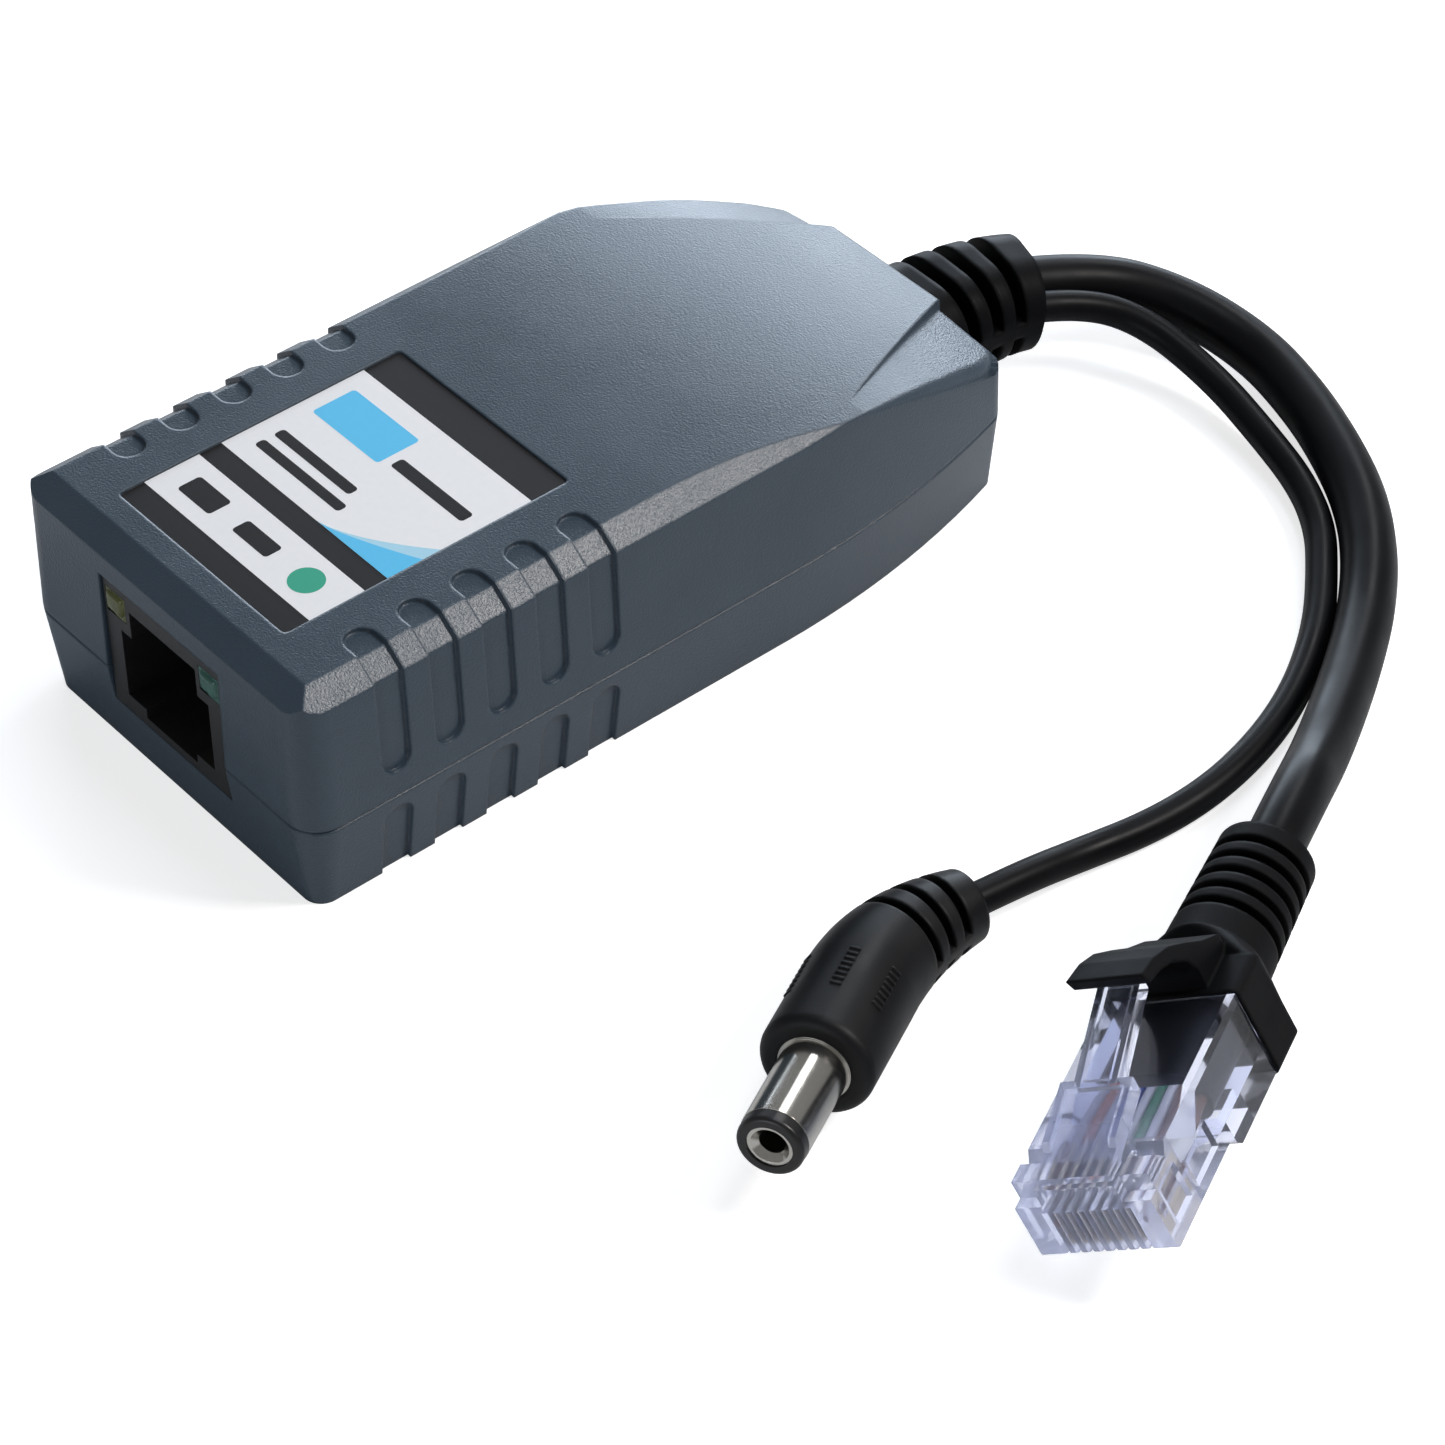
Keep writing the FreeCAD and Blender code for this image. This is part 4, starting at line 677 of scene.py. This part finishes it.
# Grip ribs: stacks of small bars along the power plug's overmould, turned round it in degrees.
# Lengths are in millimetres, and start and barrelMiddle run back from the barrel's tip.
gripRibs = {
    "barrelMiddle": 5.35,
    "start": 14.3,
    "radius": 4.65,
    "pitch": 0.62,
    "count": 8,
    "bar": (0.95, 0.30, 0.22),
    "round": 0.07,
    "segments": 2,
    "pads": {"gripRibsTop": 3.0, "gripRibsLeft": 60.0, "gripRibsRight": -42.0},
}


# A bar with rounded edges, repeated along the plug, then turned round it to its place
def ribPad(name, turn):
    mount = mountNamed("power_plug_sleeve")
    into = -Vector(mount["axis"]).normalized()
    level = Vector((into.y, -into.x, 0)).normalized()
    up = level.cross(into)
    angle = math.radians(turn)
    out = up * math.cos(angle) - level * math.sin(angle)
    side = into.cross(out)
    root = Vector(mount["pos_m"]) + into * (gripRibs["start"] - gripRibs["barrelMiddle"]) * mm
    bpy.ops.object.select_all(action="DESELECT")
    bpy.ops.mesh.primitive_cube_add(size=1)
    piece = bpy.context.object
    piece.scale = [c * mm for c in gripRibs["bar"]]
    bpy.ops.object.transform_apply(location=False, rotation=False, scale=True)
    bpy.ops.object.mode_set(mode="EDIT")
    bpy.ops.mesh.select_all(action="SELECT")
    bpy.ops.mesh.bevel(offset=gripRibs["round"] * mm, segments=gripRibs["segments"],
                       affect="EDGES")
    bpy.ops.object.mode_set(mode="OBJECT")
    repeat = piece.modifiers.new("repeat", "ARRAY")
    repeat.count = gripRibs["count"]
    repeat.use_relative_offset = False
    repeat.use_constant_offset = True
    repeat.constant_offset_displace = (0, gripRibs["pitch"] * mm, 0)
    bpy.ops.object.modifier_apply(modifier="repeat")
    place = Matrix((side, into, out)).transposed().to_4x4()
    piece.matrix_world = Matrix.Translation(root + out * gripRibs["radius"] * mm) @ place
    seat(piece, name, mouldedPvc)


for padName, turn in gripRibs["pads"].items():
    ribPad(padName, turn)
print("grip ribs set")


# Camera at the photograph's angle: degrees, and millimetres apart from near, which is in metres
camera = {
    "azimuth": 50.034,
    "elevation": 42.626,
    "roll": -0.501,
    "aim": (41.097, -15.0, 22.5),
    "distance": 367.9,
    "lens": 120.69,
    "sensor": 36.0,
    "near": 0.01,
}


def placeCamera():
    azimuth, elevation, roll = (math.radians(camera[k]) for k in ("azimuth", "elevation", "roll"))
    level = Vector((math.cos(azimuth), math.sin(azimuth), 0.0))
    back = Vector((math.sin(azimuth) * math.cos(elevation),
                   -math.cos(azimuth) * math.cos(elevation), math.sin(elevation)))
    upright = back.cross(level)
    across = level * math.cos(roll) + upright * math.sin(roll)
    above = upright * math.cos(roll) - level * math.sin(roll)
    bpy.ops.object.camera_add(location=(Vector(camera["aim"]) + back * camera["distance"]) * mm)
    view = bpy.context.object
    turn = Matrix((across, above, back)).transposed().to_4x4()
    view.matrix_world = Matrix.Translation(view.location) @ turn
    view.data.lens = camera["lens"]
    view.data.sensor_width = camera["sensor"]
    view.data.clip_start = camera["near"]
    bpy.context.scene.camera = view


placeCamera()
print("camera placed")


# Rays that see the background straight, or through something clear
def seenRays(tree, path):
    seen = addNode(tree, "ShaderNodeMath", {"operation": "MAXIMUM"},
                   links={0: path.outputs["Is Camera Ray"], 1: path.outputs["Is Transmission Ray"]})
    return seen.outputs[0]


# Pale floor: matt, and lifted to white where it is seen, with the part's shadow on it
def paleFloor():
    floor = {"size": 6.0, "under": 0.00002, "colour": "#E3E5E7", "rough": 0.7, "glow": 0.72}
    bpy.ops.mesh.primitive_plane_add(size=floor["size"], location=(0, 0, -floor["under"]))
    plane = bpy.context.object
    plane.name = "floor"
    surface = {"Base Color": linear(floor["colour"]), "Roughness": floor["rough"],
               "Emission Color": linear("#FFFFFF")}
    material, tree, shader = newMaterial("paleFloor", surface)
    seen = seenRays(tree, addNode(tree, "ShaderNodeLightPath"))
    glow = addNode(tree, "ShaderNodeMath", {"operation": "MULTIPLY"}, {1: floor["glow"]}, {0: seen})
    tree.links.new(glow.outputs[0], shader.inputs["Emission Strength"])
    plane.data.materials.append(material)


# The sky is dim on the part, brighter in its gloss, and white where it is seen
def studioSky():
    sky = {"dim": 0.10, "gloss": 0.24}
    world = bpy.data.worlds.new("studioSky")
    bpy.context.scene.world = world
    world.use_nodes = True
    tree = world.node_tree
    tree.nodes.clear()
    path = addNode(tree, "ShaderNodeLightPath")
    gloss = addNode(tree, "ShaderNodeMath", {"operation": "MULTIPLY"}, {1: sky["gloss"]},
                    {0: path.outputs["Is Glossy Ray"]})
    unseen = addNode(tree, "ShaderNodeMath", {"operation": "MAXIMUM"}, {0: sky["dim"]},
                     {1: gloss.outputs[0]})
    strength = addNode(tree, "ShaderNodeMath", {"operation": "MAXIMUM"},
                       links={0: unseen.outputs[0], 1: seenRays(tree, path)})
    light = addNode(tree, "ShaderNodeBackground", inputs={"Color": linear("#FFFFFF")},
                    links={"Strength": strength.outputs[0]})
    addNode(tree, "ShaderNodeOutputWorld", links={"Surface": light.outputs[0]})


# Soft boxes that face the part. Each is its azimuth and elevation in degrees, its distance and its
# size in millimetres, its brightness, which doesn't change with its size, and its colour.
softboxAim = (20, 0, 12)
softboxes = {
    "rearSoftbox": (138, 8, 760, (560, 280), 7.3, "#E2F0FF"),
    "sideSoftbox": (44, 47, 700, (170, 170), 31.0, "#FFFAF6"),
    "frontSoftbox": (285, 12, 760, (420, 300), 2.6, "#F6FAFF"),
    "topSoftbox": (100, 74, 800, (300, 300), 4.4, "#EEF6FF"),
    "highlightSoftbox": (113, 37, 760, (130, 170), 9.0, "#FFFFFF"),
}


def softbox(name, azimuth, elevation, distance, size, brightness, colour):
    aim = Vector(softboxAim) * mm
    turn, lift = math.radians(azimuth), math.radians(elevation)
    away = Vector((math.cos(turn) * math.cos(lift), math.sin(turn) * math.cos(lift), math.sin(lift)))
    bpy.ops.object.light_add(type="AREA", location=aim + away * distance * mm)
    lamp = bpy.context.object
    lamp.name = name
    lamp.data.shape = "RECTANGLE"
    lamp.data.size = size[0] * mm
    lamp.data.size_y = size[1] * mm
    lamp.data.energy = brightness * math.pi * lamp.data.size * lamp.data.size_y
    lamp.data.color = linear(colour)[:3]
    lamp.rotation_euler = (aim - lamp.location).to_track_quat("-Z", "Y").to_euler()


paleFloor()
studioSky()
for name, lamp in softboxes.items():
    softbox(name, *lamp)
bpy.context.scene.view_settings.view_transform = "Standard"
print("studio lit")
